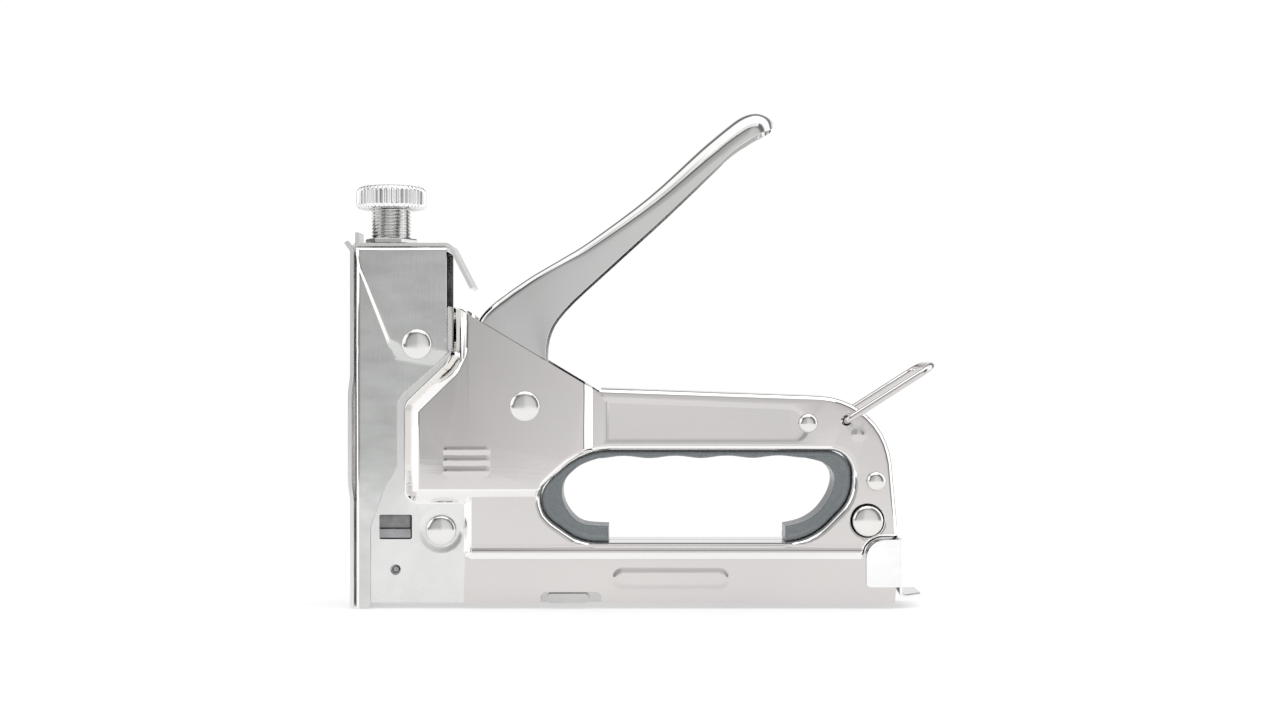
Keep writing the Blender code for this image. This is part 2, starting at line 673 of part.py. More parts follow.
def make_driver(parent, root):
    low = plunger_low()
    top = low + PLUNGER_HEIGHT
    blade_front = BACK_OF_FRONT + 0.3 * MM
    front = blade_front + BLADE_THICKNESS + GAP
    rear = SCREW_X + SPRING_RADIUS - 0.1 * MM
    half = FLANGE_LEVEL - SHELL_WALL - 2 * GAP
    body = block(front, rear, -half, half, low, top, "plunger")
    nose_z = PIVOT[1] - ARM_REACH * math.sin(LEVER_TRAVEL / 2)
    nose_x = PIVOT[0] - ARM_REACH * math.cos(LEVER_TRAVEL / 2)
    slot = ARM_NOSE + SLIDE + 0.05 * MM
    lug_half = slot + 2.1 * MM
    join(body, block(rear - 3 * MM, nose_x + MM, -4 * MM, 4 * MM, nose_z - lug_half, nose_z + lug_half))
    nearest = PIVOT[0] - ARM_REACH - ARM_NOSE - SLIDE
    cut(body, block(nearest, FAR, -FAR, FAR, nose_z - slot, nose_z + slot))
    seat = SPRING_RADIUS - SPRING_WIRE - 0.4 * MM
    join(body, lathe([(seat, top - MM), (seat, top + 3 * MM), (seat - MM, top + 4 * MM)], SCREW_X, 0,
                     upright=True))
    pin_x = SCREW_X - 2 * MM
    pin_z = low + 9 * MM
    pin_radius = 1.2 * MM
    pin_half = half + 0.1 * MM
    cut(body, slab(circle(pin_x, pin_z, pin_radius + GAP, 12), -FAR, FAR))
    finish(body, "plunger", "hardened_steel", parent)
    blade_half = CROWN / 2 - 0.2 * MM
    blade = block(blade_front, blade_front + BLADE_THICKNESS, -blade_half, blade_half, 0.5 * MM, top)
    finish(blade, "driver_blade", "hardened_steel", parent)
    pin = lathe([(pin_radius, -pin_half), (pin_radius, pin_half)], pin_x, pin_z, "plunger_pin", 12)
    finish(pin, "plunger_pin", "hardened_steel", parent)
    spring_low = top + GAP
    spring = coil(SCREW_X, 0, spring_low, SPRING_RADIUS, SPRING_WIRE, SPRING_TURNS,
                  cap_top() - cap_height() - GAP - spring_low, "power_spring", "Z")
    finish(spring, "power_spring", "hardened_steel", root)
    bumper_low = BUMPER_TOP - BUMPER_HEIGHT
    bumper_half = FLANGE_LEVEL - SHELL_WALL - GAP
    bumper = block(front + 0.5 * MM, 15.1 * MM, -bumper_half, bumper_half, bumper_low, BUMPER_TOP)
    ends = slab(window_outline(GAP), -FLANGE_LEVEL, FLANGE_LEVEL)
    join(bumper, ends)
    finish(bumper, "bumper", "bumper_rubber", root)


# ---------------------------------------------------------------- lever

def lever_half(x):
    """Half width of the lever, growing from its root to its tip."""
    share = (x - 34 * MM) / (119 * MM - 34 * MM)
    return LEVER_ROOT_HALF + (LEVER_TIP_HALF - LEVER_ROOT_HALF) * share


def lever_top():
    """Upper edge of the lever from its root to its tip."""
    points = [(36.5, 84.6), (46.3, 92.0), (66.1, 103.8), (82.2, 116.2), (96.5, 129.5), (105.6, 137.2),
              (112.0, 140.2), (117.6, 138.4)]
    return smooth([(x * MM, z * MM) for x, z in points], 3)


def lever_under():
    """Lower edge of the cheeks from the tip back to the boss round the pivot."""
    points = [(118.2, 136.6), (110.5, 133.0), (103.2, 127.5), (84.6, 108.1), (66.1, 91.5), (57.5, 83.4),
              (53.6, 76.0), (52.8, 68.0)]
    return smooth([(x * MM, z * MM) for x, z in points], 3)


def boss(radius, start, stop, steps=8):
    """Arc of the cheek round the pivot, clockwise in degrees."""
    angles = [math.radians(start + (stop - start) * k / steps) for k in range(steps + 1)]
    return [Vector((PIVOT[0] + radius * math.cos(a), PIVOT[1] + radius * math.sin(a))) for a in angles]


def make_lever(parent):
    pivot = (PIVOT[0], 0, PIVOT[1])
    top = lever_top()
    outline = top + lever_under() + boss(8.2 * MM, 15, -165) + [Vector((33.8 * MM, 80.6 * MM))]
    lever = prism(outline, outline, lambda x: -lever_half(x), lever_half, "lever")
    heights = {(round(p[0], 6), round(p[1], 6)) for p in top}

    def top_edge(edge):
        a, b = (v.co for v in edge.verts)
        along = all((round(p.x, 6), round(p.z, 6)) in heights for p in (a, b))
        return along and abs(a.y - b.y) < MM
    bevel(lever, 3.4 * MM, 3, top_edge)
    skin = offset_path(top, -LEVER_WALL)[:-4]
    ahead = skin[0] - (skin[1] - skin[0]).normalized() * 12 * MM
    end = skin[-1]
    hollow_outline = [ahead] + skin + [end + Vector((1.0, -1.2)) * FAR, Vector((PIVOT[0] + FAR, -FAR)),
                                       Vector((PIVOT[0] - FAR, -FAR)), ahead + Vector((-FAR, 0))]
    hollow = prism(hollow_outline, hollow_outline, lambda x: -lever_half(x) + LEVER_WALL,
                   lambda x: lever_half(x) - LEVER_WALL)
    inner = {(round(p[0], 6), round(p[1], 6)) for p in [ahead] + skin}

    def hollow_edge(edge):
        a, b = (v.co for v in edge.verts)
        return all((round(p.x, 6), round(p.z, 6)) in inner for p in (a, b)) and abs(a.y - b.y) < MM
    bevel(hollow, 1.9 * MM, 2, hollow_edge)
    cut(lever, hollow)
    cut(lever, slab(circle(*PIVOT, PIVOT_PIN_RADIUS + SLIDE, 20), -FAR, FAR))
    cut(lever, slab(circle(*ARM_RIVET, 1.5 * MM + GAP, 12), -FAR, FAR))
    finish(lever, "lever", "plated_steel", parent, pivot)
    make_arm(parent, pivot)


def make_arm(parent, pivot):
    """Rocker inside the lever whose round nose lifts the plunger."""
    tilt = LEVER_TRAVEL / 2
    direction = Vector((-math.cos(tilt), -math.sin(tilt)))
    side = Vector((-direction.y, direction.x))
    centre = Vector(PIVOT)
    nose = centre + direction * ARM_REACH
    facing = math.atan2(direction.y, direction.x)
    tip = [nose + ARM_NOSE * Vector((math.cos(facing + a), math.sin(facing + a)))
           for a in (math.radians(-130 + 20 * k) for k in range(14))]
    neck = 1.3 * MM
    flare = 8.0 * MM
    back = centre + direction * flare
    outline = tip + [nose - direction * 3 * MM + side * neck, back + side * 4.5 * MM]
    lower = boss(ARM_BOSS, 250, 380, 8)
    upper = [Vector(ARM_RIVET) + 4.5 * MM * Vector((math.cos(a), math.sin(a)))
             for a in (math.radians(20 + 20 * k) for k in range(8))]
    outline = outline + lower + upper + [back - side * 5.5 * MM, nose - direction * 3 * MM - side * neck]
    half = ARM_THICKNESS / 2
    arm = slab(outline, -half, half, "lift_arm")
    cut(arm, slab(circle(*PIVOT, PIVOT_PIN_RADIUS + SLIDE, 20), -FAR, FAR))
    cut(arm, slab(circle(*ARM_RIVET, 1.5 * MM + GAP, 12), -FAR, FAR))
    finish(arm, "lift_arm", "hardened_steel", parent, pivot)
    reach = lever_half(ARM_RIVET[0])
    rivet = lathe([(2.6 * MM, -reach - GAP - 0.8 * MM), (2.6 * MM, -reach - GAP), (1.5 * MM, -reach - GAP),
                   (1.5 * MM, reach + GAP), (2.6 * MM, reach + GAP), (2.6 * MM, reach + GAP + 0.8 * MM)],
                  *ARM_RIVET, "arm_rivet", 12)
    finish(rivet, "arm_rivet", "hardened_steel", parent, pivot)
    make_return_spring(parent, pivot)


def make_return_spring(parent, pivot):
    """Double torsion spring round the pivot pin, one coil on each side of the arm."""
    wire = 1.1 * MM
    mean = PIVOT_PIN_RADIUS + 0.5 * MM + wire / 2
    inside = ARM_THICKNESS / 2 + GAP + wire / 2
    turns = 3
    pitch = wire + 0.1 * MM
    points = []
    steps = 10
    start = math.radians(-50)
    for side in (-1, 1):
        coil_points = []
        for k in range(turns * steps + 1):
            angle = start + 2 * math.pi * k / steps
            across = side * (inside + pitch * k / steps)
            coil_points.append(Vector((PIVOT[0] + mean * math.cos(angle), across,
                                       PIVOT[1] + mean * math.sin(angle))))
        tangent = (coil_points[0] - coil_points[1]).normalized()
        tangent.y = 0
        bridge = [coil_points[0] + tangent * (ARM_BOSS + 2 * MM)]
        leg = coil_points[-1] + (coil_points[-1] - coil_points[-2]).normalized() * 12 * MM
        half_loop = bridge + coil_points + [leg]
        points = half_loop[::-1] + points if side < 0 else points + half_loop
    spring = tube_along(points, wire / 2, "lever_return_spring", 5)
    finish(spring, "lever_return_spring", "hardened_steel", parent, pivot)


# ---------------------------------------------------------------- rivets and spacers

def domed_rivet(name, x, z, head, shank, level, parent, finish_name="plated_steel"):
    """Rivet across the body with a domed head on each side."""
    seat = level + GAP
    dome = [(head, 0.0), (head, 0.25), (head * 0.93, 0.62), (head * 0.7, 0.88), (head * 0.36, 1.0)]
    near = [(radius, -seat - HEAD_HEIGHT * rise) for radius, rise in reversed(dome)]
    far = [(radius, seat + HEAD_HEIGHT * rise) for radius, rise in dome]
    profile = near + [(shank, -seat), (shank, seat)] + far
    finish(lathe(profile, x, z, name, 16), name, finish_name, parent)


def spacer(name, x, z, outer, shank, half_length, parent):
    bore = shank + GAP
    tube = lathe([(outer, -half_length), (outer, half_length)], x, z, name, 16)
    cut(tube, lathe([(bore, -FAR), (bore, FAR)], x, z, sides=12))
    finish(tube, name, "hardened_steel", parent)


def make_rivets(parent):
    handle_inside = HANDLE_LEVEL - SHELL_WALL - GAP
    domed_rivet("front_upper_rivet", *RIVET_UPPER, HOUSING_RAISED, parent)
    domed_rivet("front_lower_rivet", *RIVET_LOWER, FLANGE_LEVEL, parent)
    domed_rivet("lever_pivot_pin", *PIVOT, 4.25 * MM, PIVOT_PIN_RADIUS, PANEL_LEVEL, parent)
    domed_rivet("rear_large_rivet", *RIVET_LARGE, HANDLE_LEVEL, parent)
    domed_rivet("rear_top_rivet", *RIVET_TOP, HANDLE_LEVEL, parent)
    domed_rivet("rear_mid_rivet", *RIVET_MID, HANDLE_LEVEL, parent)
    spacer("front_lower_spacer", *RIVET_LOWER[:2], 3.2 * MM, RIVET_LOWER[3],
           FLANGE_LEVEL - SHELL_WALL - GAP, parent)
    spacer("rear_large_spacer", *RIVET_LARGE[:2], 3.4 * MM, RIVET_LARGE[3], handle_inside, parent)
    spacer("rear_top_spacer", *RIVET_TOP[:2], 2.8 * MM, RIVET_TOP[3], handle_inside, parent)
    spacer("rear_mid_spacer", *RIVET_MID[:2], 2.8 * MM, RIVET_MID[3], handle_inside, parent)
    x, z, radius = TRACK_PIN
    chamfer = 0.25 * MM
    for name, side in (("left_magazine_pin", -1), ("right_magazine_pin", 1)):
        low = side * (TRACK_INNER + 0.1 * MM)
        high = side * (FLANGE_LEVEL - 0.2 * MM)
        profile = [(radius, low), (radius, high - side * chamfer), (radius - chamfer, high)]
        finish(lathe(profile, x, z, name, 12), name, "hardened_steel", parent)


# ---------------------------------------------------------------- grip insert

def make_grip(parent):
    """C-shaped plastic liner of the finger hole, open at the bottom."""
    outer = offset(hole_outline(), GAP)
    left, right = HOLE_LEFT + 6.5 * MM, HOLE_RIGHT - 5.8 * MM
    top, bottom = HOLE_TOP - 3.0 * MM, HOLE_BOTTOM + 2.6 * MM
    waves = 4
    wave_start, wave_end = left + 12 * MM, right - 14 * MM
    count = 32
    wavy = []
    for k in range(count + 1):
        share = k / count
        dip = 0.45 * MM * (1 - math.cos(2 * math.pi * waves * share))
        wavy.append((wave_end + (wave_start - wave_end) * share, top + dip - 0.45 * MM, 0))
    inner = fillet([
        (left - 0.5 * MM, top - 7.0 * MM, 7 * MM), (left + 0.5 * MM, bottom + 5.0 * MM, 6 * MM),
        (left + 9.5 * MM, bottom, 8 * MM), (right - 11.0 * MM, bottom, 8 * MM),
        (right, bottom + 9.5 * MM, 6 * MM), (right - 2.0 * MM, top - 1.0 * MM, 7 * MM),
        *wavy, (left + 5 * MM, top - 0.8 * MM, 8 * MM),
    ])
    half = HANDLE_LEVEL - EDGE_ROUND - 0.2 * MM
    grip = slab(outer, -half, half, "grip_insert")
    cut(grip, slab(inner, -FAR, FAR))
    cut(grip, block(HOLE_LEFT + 18.3 * MM, HOLE_RIGHT - 18.2 * MM, -FAR, FAR, HOLE_BOTTOM - FAR,
                    (HOLE_BOTTOM + HOLE_TOP) / 2))
    finish(grip, "grip_insert", "grip_plastic", parent)


# ---------------------------------------------------------------- magazine

def cap_plate_x():
    """Inner face of the end cap's rear plate."""
    return BODY_REAR + GAP


def make_magazine(parent):
    front = BACK_OF_FRONT + 2.4 * MM
    rear = BODY_REAR - 1.6 * MM
    track = block(front, rear, -TRACK_OUTER, TRACK_OUTER, SHELL_BOTTOM, TRACK_TOP, "magazine_channel")
    left, right, top = NOTCH
    ear = MAGAZINE_LEVEL + 0.6 * MM
    blister = box_outline(left + 1.7 * MM, SHELL_BOTTOM, right - 3.5 * MM, top - 0.4 * MM, 1.2 * MM)
    join(track, slab(blister, -ear, ear))
    floor = SHELL_BOTTOM + TRACK_WALL
    cut(track, block(front - MM, rear + MM, -TRACK_INNER, TRACK_INNER, floor, TRACK_TOP + MM))
    x, z, radius = TRACK_PIN
    for side in (-1, 1):
        hole = circle(x, z, radius + GAP, 12)
        cut(track, slab(hole, side * (TRACK_INNER - MM / 2), side * FAR))
    finish(track, "magazine_channel", "plated_steel", parent)


def make_end_cap(latch):
    """Cap round the rear of the magazine with its finger lip, and the rod that it carries."""
    plate = cap_plate_x()
    back = plate + CAP_WALL
    outline = fillet([(CAP_FRONT, CAP_BOTTOM, 1 * MM), (back, CAP_BOTTOM, 0), (back, CAP_TOP, 0.6 * MM),
                      (CAP_FRONT, CAP_TOP, 5 * MM)])
    cap = slab(outline, -CAP_OUTER, CAP_OUTER, "end_cap")

    def rear_corner(edge):
        a, b = edge.verts
        upright = abs(a.co.x - b.co.x) < 1e-6 and abs(a.co.y - b.co.y) < 1e-6
        return upright and a.co.x > back - 1e-5
    bevel(cap, 1.5 * MM, 2, rear_corner)
    cut(cap, block(CAP_FRONT - FAR, plate, -CAP_INNER, CAP_INNER, -FAR, FAR))
    lip_half = TRACK_INNER
    lip = sheet([(back, CAP_BOTTOM + 2 * MM), (back, SHELL_BOTTOM), (back + CAP_LIP, SHELL_BOTTOM),
                 (back + CAP_LIP + 0.8 * MM, SHELL_BOTTOM + 2.6 * MM)][::-1], CAP_WALL, lip_half, "lip")
    join(cap, lip)
    finish(cap, "end_cap", "plated_steel", latch)
    ends = [(PUSHER_FRONT + 3 * MM, 0, ROD_Z), (plate - GAP, 0, ROD_Z)]
    rod = tube_along(ends, ROD_RADIUS, "guide_rod", 12)
    finish(rod, "guide_rod", "hardened_steel", latch)


def make_pusher(parent, latch):
    wall = 0.9 * MM
    half = TRACK_INNER - SLIDE
    low = SHELL_BOTTOM + TRACK_WALL + 1.2 * MM
    top = TRACK_TOP - 0.4 * MM
    rear = PUSHER_FRONT + PUSHER_LENGTH
    pusher = block(PUSHER_FRONT, rear, -half, half, low, top, "pusher")
    cut(pusher, block(PUSHER_FRONT + wall, rear - wall, -half + wall, half - wall, low - MM, top - wall))
    bore_ends = [(PUSHER_FRONT - MM, 0, ROD_Z), (rear + MM, 0, ROD_Z)]
    cut(pusher, tube_along(bore_ends, ROD_RADIUS + SLIDE, "bore", 12))
    finish(pusher, "pusher", "hardened_steel", parent)
    start = rear + GAP
    spring = coil(start, 0, ROD_Z, PUSHER_SPRING_RADIUS, PUSHER_SPRING_WIRE, PUSHER_SPRING_TURNS,
                  cap_plate_x() - GAP - start, "pusher_spring", "X", 4, 8)
    finish(spring, "pusher_spring", "hardened_steel", latch)


def make_bail(parent):
    """Wire loop whose bent-in ends sit in holes of the shells."""
    inside = HANDLE_LEVEL - SHELL_WALL - 0.4 * MM
    reach = BAIL_LENGTH - BAIL_WIRE
    route = fillet([(0, -inside, 0), (0, -BAIL_HALF, 1.6 * MM), (reach, -BAIL_HALF, 4 * MM),
                    (reach, BAIL_HALF, 4 * MM), (0, BAIL_HALF, 1.6 * MM), (0, inside, 0)])
    across, up = math.cos(BAIL_ANGLE), math.sin(BAIL_ANGLE)
    points = [(BAIL_PIVOT[0] + p[0] * across, p[1], BAIL_PIVOT[1] + p[0] * up) for p in route]
    finish(tube_along(points, BAIL_WIRE, "lock_bail"), "lock_bail", "plated_steel", parent,
           (BAIL_PIVOT[0], 0, BAIL_PIVOT[1]))


def main():
    for obj in list(bpy.data.objects):
        bpy.data.objects.remove(obj)
    root = empty("staple_gun")
    driver = empty("driver_axis", parent=root)
    lever = empty("lever_axis", (PIVOT[0], 0, PIVOT[1]), root)
    preload = empty("preload_axis", (SCREW_X, 0, COLUMN_TOP), root)
    adjuster = empty("adjuster_axis", (SCREW_X, 0, COLUMN_TOP), preload)
    bail = empty("bail_axis", (BAIL_PIVOT[0], 0, BAIL_PIVOT[1]), root)
    latch = empty("latch_axis", parent=root)
    pusher = empty("pusher_axis", parent=latch)
    make_shell(root)
    make_housing(root)
    make_front_plate(root)
    make_clip(root)
    make_nut(root)
    make_grip(root)
    make_magazine(root)
    make_rivets(root)
    make_driver(driver, root)
    make_lever(lever)
    make_adjuster(preload, adjuster)
    make_bail(bail)
    make_end_cap(latch)
    make_pusher(pusher, latch)


main()
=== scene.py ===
"""Looks of the hand staple gun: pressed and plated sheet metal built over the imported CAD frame.

Lengths in the outlines are millimetres in the side view, (x, z); meshes are made in metres.
"""

import json
import math

import bmesh
import bpy
import numpy as np
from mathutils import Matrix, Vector
from mathutils.geometry import delaunay_2d_cdt


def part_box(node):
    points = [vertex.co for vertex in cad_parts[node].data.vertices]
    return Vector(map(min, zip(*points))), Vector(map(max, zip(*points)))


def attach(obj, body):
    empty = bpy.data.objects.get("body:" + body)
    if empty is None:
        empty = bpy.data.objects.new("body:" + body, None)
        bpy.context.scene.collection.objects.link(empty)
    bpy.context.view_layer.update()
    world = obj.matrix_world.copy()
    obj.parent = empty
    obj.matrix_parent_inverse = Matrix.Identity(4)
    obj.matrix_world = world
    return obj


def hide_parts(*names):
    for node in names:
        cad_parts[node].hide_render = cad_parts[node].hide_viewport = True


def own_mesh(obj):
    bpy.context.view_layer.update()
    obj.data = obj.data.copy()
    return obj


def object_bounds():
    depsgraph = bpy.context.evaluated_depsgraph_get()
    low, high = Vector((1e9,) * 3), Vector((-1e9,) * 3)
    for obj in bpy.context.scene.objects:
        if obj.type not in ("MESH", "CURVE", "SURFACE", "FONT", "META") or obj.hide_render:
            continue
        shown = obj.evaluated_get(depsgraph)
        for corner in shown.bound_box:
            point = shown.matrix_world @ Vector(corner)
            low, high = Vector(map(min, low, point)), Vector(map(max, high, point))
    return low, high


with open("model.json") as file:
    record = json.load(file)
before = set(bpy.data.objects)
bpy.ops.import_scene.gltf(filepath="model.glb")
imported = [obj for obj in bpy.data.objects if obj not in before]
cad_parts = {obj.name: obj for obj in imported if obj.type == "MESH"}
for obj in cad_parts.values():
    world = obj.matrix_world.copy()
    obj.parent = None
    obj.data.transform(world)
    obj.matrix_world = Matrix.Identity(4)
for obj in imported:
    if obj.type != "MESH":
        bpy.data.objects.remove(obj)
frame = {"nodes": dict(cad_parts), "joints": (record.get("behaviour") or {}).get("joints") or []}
cad_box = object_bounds()

MM = 0.001
GAP = 0.3
JOINTS = {joint["name"]: joint for joint in frame["joints"]}


def span(node):
    """Lowest and highest corner of a CAD node, in millimetres."""
    low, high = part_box(node)
    return low / MM, high / MM


# ---------------- sizes taken from the frame

SHELL_LOW, SHELL_HIGH = span("left_shell")
HOUSING_LOW, HOUSING_HIGH = span("front_housing")
CHANNEL_HIGH = span("magazine_channel")[1]
CAP_LOW, CAP_HIGH = span("end_cap")
KNOB_LOW, KNOB_HIGH = span("adjusting_knob")
SCREW_LOW, SCREW_HIGH = span("adjusting_screw")
PLATE_LOW, PLATE_HIGH = span("front_plate")
CLIP_LOW, CLIP_HIGH = span("front_plate_clip")
LEVER_HIGH = span("lever")[1]
GRIP_HIGH = span("grip_insert")[1]

SHELL_WALL = 1.0
HOUSING_WALL = 1.2
PLATE_WALL = 1.1
CLIP_WALL = 1.0
CAP_WALL = 1.0
LEVER_WALL = 1.5
CUT_EDGE = 0.16             # bevel on the cut edges of thin sheet
BODY_REAR = SHELL_HIGH.x
BOTTOM = SHELL_LOW.z
PANEL_LEVEL = -SHELL_LOW.y
HANDLE_LEVEL = PANEL_LEVEL - 2.2
MAGAZINE_LEVEL = HANDLE_LEVEL - 1.4
FLANGE_LEVEL = MAGAZINE_LEVEL - 0.55
HOUSING_RAISED = HOUSING_HIGH.y
HOUSING_LEVEL = HOUSING_RAISED - 0.65
FRONT = HOUSING_LOW.x
COLUMN_TOP = HOUSING_HIGH.z
COLUMN_REAR = HOUSING_HIGH.x
PIVOT = (JOINTS["lever_pivot"]["pos_m"][0] / MM, JOINTS["lever_pivot"]["pos_m"][2] / MM)
BAIL_PIVOT = (JOINTS["bail_swing"]["pos_m"][0] / MM, JOINTS["bail_swing"]["pos_m"][2] / MM)
HANDLE_START = PIVOT[0] + 21.3
HANDLE_TOP = PIVOT[1] + 5.1
HOLE_LEFT = PIVOT[0] + 5.0
HOLE_RIGHT = BODY_REAR - 13.5
HOLE_TOP = PIVOT[1] - 12.5
HOLE_BOTTOM = CHANNEL_HIGH.z + 1.3
SCREW_X = (SCREW_LOW.x + SCREW_HIGH.x) / 2
CAP_BACK = BODY_REAR + GAP + CAP_WALL
CAP_FOOT = 6.0
EDGE_ROUND = 1.8            # radius of the rolled rims of the shells


# ---------------- outlines

def signed_area(corners):
    """Area inside the corners, negative when they run clockwise."""
    total = 0.0
    for (x0, z0, *_), (x1, z1, *_) in zip(corners, corners[1:] + corners[:1]):
        total += x0 * z1 - x1 * z0
    return total / 2


def rounded(corners, step=9.0):
    """Closed outline from (x, z, radius) corners, with an arc in each that has a radius."""
    outline = []
    for i, (x, z, radius) in enumerate(corners):
        corner = Vector((x, z))
        before = Vector(corners[i - 1][:2]) - corner
        after = Vector(corners[(i + 1) % len(corners)][:2]) - corner
        opening = before.angle(after)
        turn = math.pi - opening
        if radius < 0.01 or turn < 0.02:
            outline.append((x, z))
            continue
        reach = min(radius * math.tan(turn / 2), 0.49 * min(before.length, after.length))
        radius = reach / math.tan(turn / 2)
        start = corner + before.normalized() * reach
        end = corner + after.normalized() * reach
        middle = (before.normalized() + after.normalized()).normalized()
        centre = corner + middle * math.hypot(radius, reach)
        steps = max(2, math.ceil(math.degrees(turn) / step))
        first, last = start - centre, end - centre
        sweep = first.angle_signed(last)
        for k in range(steps + 1):
            angle = -sweep * k / steps
            c, s = math.cos(angle), math.sin(angle)
            outline.append((centre.x + first.x * c - first.y * s, centre.y + first.x * s + first.y * c))
    return outline


def inset(corners, distance):
    """The same corners with every side moved inwards, and the radii changed to match."""
    turn = 1 if signed_area(corners) > 0 else -1
    moved = []
    for i, (x, z, radius) in enumerate(corners):
        here = Vector((x, z))
        a = (here - Vector(corners[i - 1][:2])).normalized()
        b = (Vector(corners[(i + 1) % len(corners)][:2]) - here).normalized()
        normal_a = turn * Vector((-a.y, a.x))
        normal_b = turn * Vector((-b.y, b.x))
        shift = (normal_a + normal_b) * distance / (1 + normal_a.dot(normal_b))
        convex = turn * (a.x * b.y - a.y * b.x) > 0
        radius = radius - distance if convex else radius + distance
        moved.append((x + shift.x, z + shift.y, max(radius, 0)))
    return moved


def widened(loop, distance_out):
    """A dense loop moved outwards point by point."""
    turn = 1 if signed_area(loop) > 0 else -1
    moved = []
    for i, (x, z) in enumerate(loop):
        ahead = (Vector(loop[(i + 1) % len(loop)]) - Vector(loop[i - 1])).normalized()
        moved.append((x + turn * ahead.y * distance_out, z - turn * ahead.x * distance_out))
    return moved


def circle(x, z, radius, sides=48):
    """Round outline."""
    return [(x + radius * math.cos(2 * math.pi * k / sides), z + radius * math.sin(2 * math.pi * k / sides))
            for k in range(sides)]


def smooth_line(points, per_span=6):
    """Catmull-Rom curve through open points."""
    spots = [Vector(p) for p in points]
    line = []
    for i in range(len(spots) - 1):
        p0, p1 = spots[max(i - 1, 0)], spots[i]
        p2, p3 = spots[i + 1], spots[min(i + 2, len(spots) - 1)]
        for k in range(per_span):
            t = k / per_span
            line.append(0.5 * (2 * p1 + (p2 - p0) * t + (2 * p0 - 5 * p1 + 4 * p2 - p3) * t * t
                               + (3 * p1 - p0 - 3 * p2 + p3) * t ** 3))
    line.append(spots[-1])
    return [(p.x, p.y) for p in line]


def bent(corners):
    """Open line through (x, z, radius) corners with an arc at each bend."""
    closed = rounded([*corners, (corners[-1][0] + 500, corners[-1][1] - 900, 0),
                      (corners[0][0] - 500, corners[0][1] - 900, 0)], 12.0)
    return closed[:-2]


def segments(loop, chosen=None):
    """Sides of a loop as (start, end) rows, only those whose middle is chosen."""
    a = np.array(loop, float)
    b = np.roll(a, -1, 0)
    if chosen is None:
        return np.stack([a, b], 1)
    middle = (a + b) / 2
    picked = [i for i, (x, z) in enumerate(middle) if chosen(x, z)]
    return np.stack([a[picked], b[picked]], 1)


def distance(points, sides):
    """Distance from each point to the nearest of the sides."""
    a, b = sides[:, 0], sides[:, 1]
    along = b - a
    to_point = points[:, None] - a[None]
    share = np.clip((to_point * along).sum(2) / np.maximum((along ** 2).sum(1), 1e-12), 0, 1)
    return np.linalg.norm(to_point - share[..., None] * along, axis=2).min(1)


def inside(points, loop):
    """True for each point that the loop runs round."""
    a = np.array(loop, float)
    b = np.roll(a, -1, 0)
    x, z = points[:, :1], points[:, 1:]
    rise = np.where(b[:, 1] == a[:, 1], 1e-12, b[:, 1] - a[:, 1])
    crossing = (b[:, 0] - a[:, 0]) * (z - a[:, 1]) / rise + a[:, 0]
    return (((a[:, 1] > z) != (b[:, 1] > z)) & (x < crossing)).sum(1) % 2 == 1


def depth(points, corners):
    """How far each point lies inside the rounded corners, negative outside."""
    loop = rounded(corners)
    return np.where(inside(points, loop), 1, -1) * distance(points, segments(loop))


# ---------------- pressed sheet

SOFT = 0.45                 # half width of the bend at the foot and the crest of a pressed step


def hinge(d):
    """0 before the bend at 0 and d after it, with the bend rounded."""
    return np.where(d < -SOFT, 0, np.where(d > SOFT, d, (d + SOFT) ** 2 / (4 * SOFT)))


def step_up(d, width):
    """0 outside a pressed area, 1 from width inwards, with both bends rounded."""
    return (hinge(d) - hinge(d - width)) / width


def step_lines(corners, width):
    """Lines along both bends of a pressed step."""
    offsets = [-SOFT, 0, SOFT, width - SOFT, width, width + SOFT]
    return [rounded(inset(corners, d)) for d in offsets]


ROUND_ANGLES = [math.radians(a) for a in (18, 36, 54, 72, 90)]


def round_lines(corners, radius, outwards=False):
    """Lines along a rounded rim."""
    sign = -1 if outwards else 1
    return [rounded(inset(corners, sign * radius * (1 - math.cos(a)))) for a in ROUND_ANGLES]


def rim_drop(d, radius):
    """How far a rounded rim falls away at distance d from the rim."""
    left = np.clip(radius - d, 0, radius)
    return radius - np.sqrt(np.maximum(radius ** 2 - left ** 2, 0))


def surface(outline, holes, lines, height, skirts, back):
    """Open surface over an outline with y = -height, and walls to y = -back along the skirts."""
    corners, links = [], []
    for loop in [outline, *holes, *lines]:
        start = len(corners)
        corners += [Vector(p) for p in loop]
        links += [(start + i, start + (i + 1) % len(loop)) for i in range(len(loop))]
    spots, _, triangles = delaunay_2d_cdt(corners, links, [], 0, 0.0005)[:3]
    points = np.array([tuple(p) for p in spots])
    triangles = np.array([t for t in triangles if len(t) == 3])
    centres = points[triangles].mean(1)
    wanted = inside(centres, outline)
    for hole in holes:
        wanted &= ~inside(centres, hole)
    levels = height(points)
    bm = bmesh.new()
    verts = [bm.verts.new((x * MM, -h * MM, z * MM)) for (x, z), h in zip(points, levels)]
    for triangle in triangles[wanted]:
        bm.faces.new([verts[i] for i in triangle])
    bmesh.ops.delete(bm, geom=[v for v in bm.verts if not v.link_faces], context="VERTS")
    if len(skirts):
        rim = [e for e in bm.edges if len(e.link_faces) == 1]
        middles = np.array([((e.verts[0].co + e.verts[1].co) / 2 / MM).xz for e in rim])
        near = distance(middles, skirts) < 0.02
        wall = [e for e, close in zip(rim, near) if close]
        made = bmesh.ops.extrude_edge_only(bm, edges=wall)["geom"]
        for v in made:
            if isinstance(v, bmesh.types.BMVert):
                v.co.y = -back * MM
    return bm


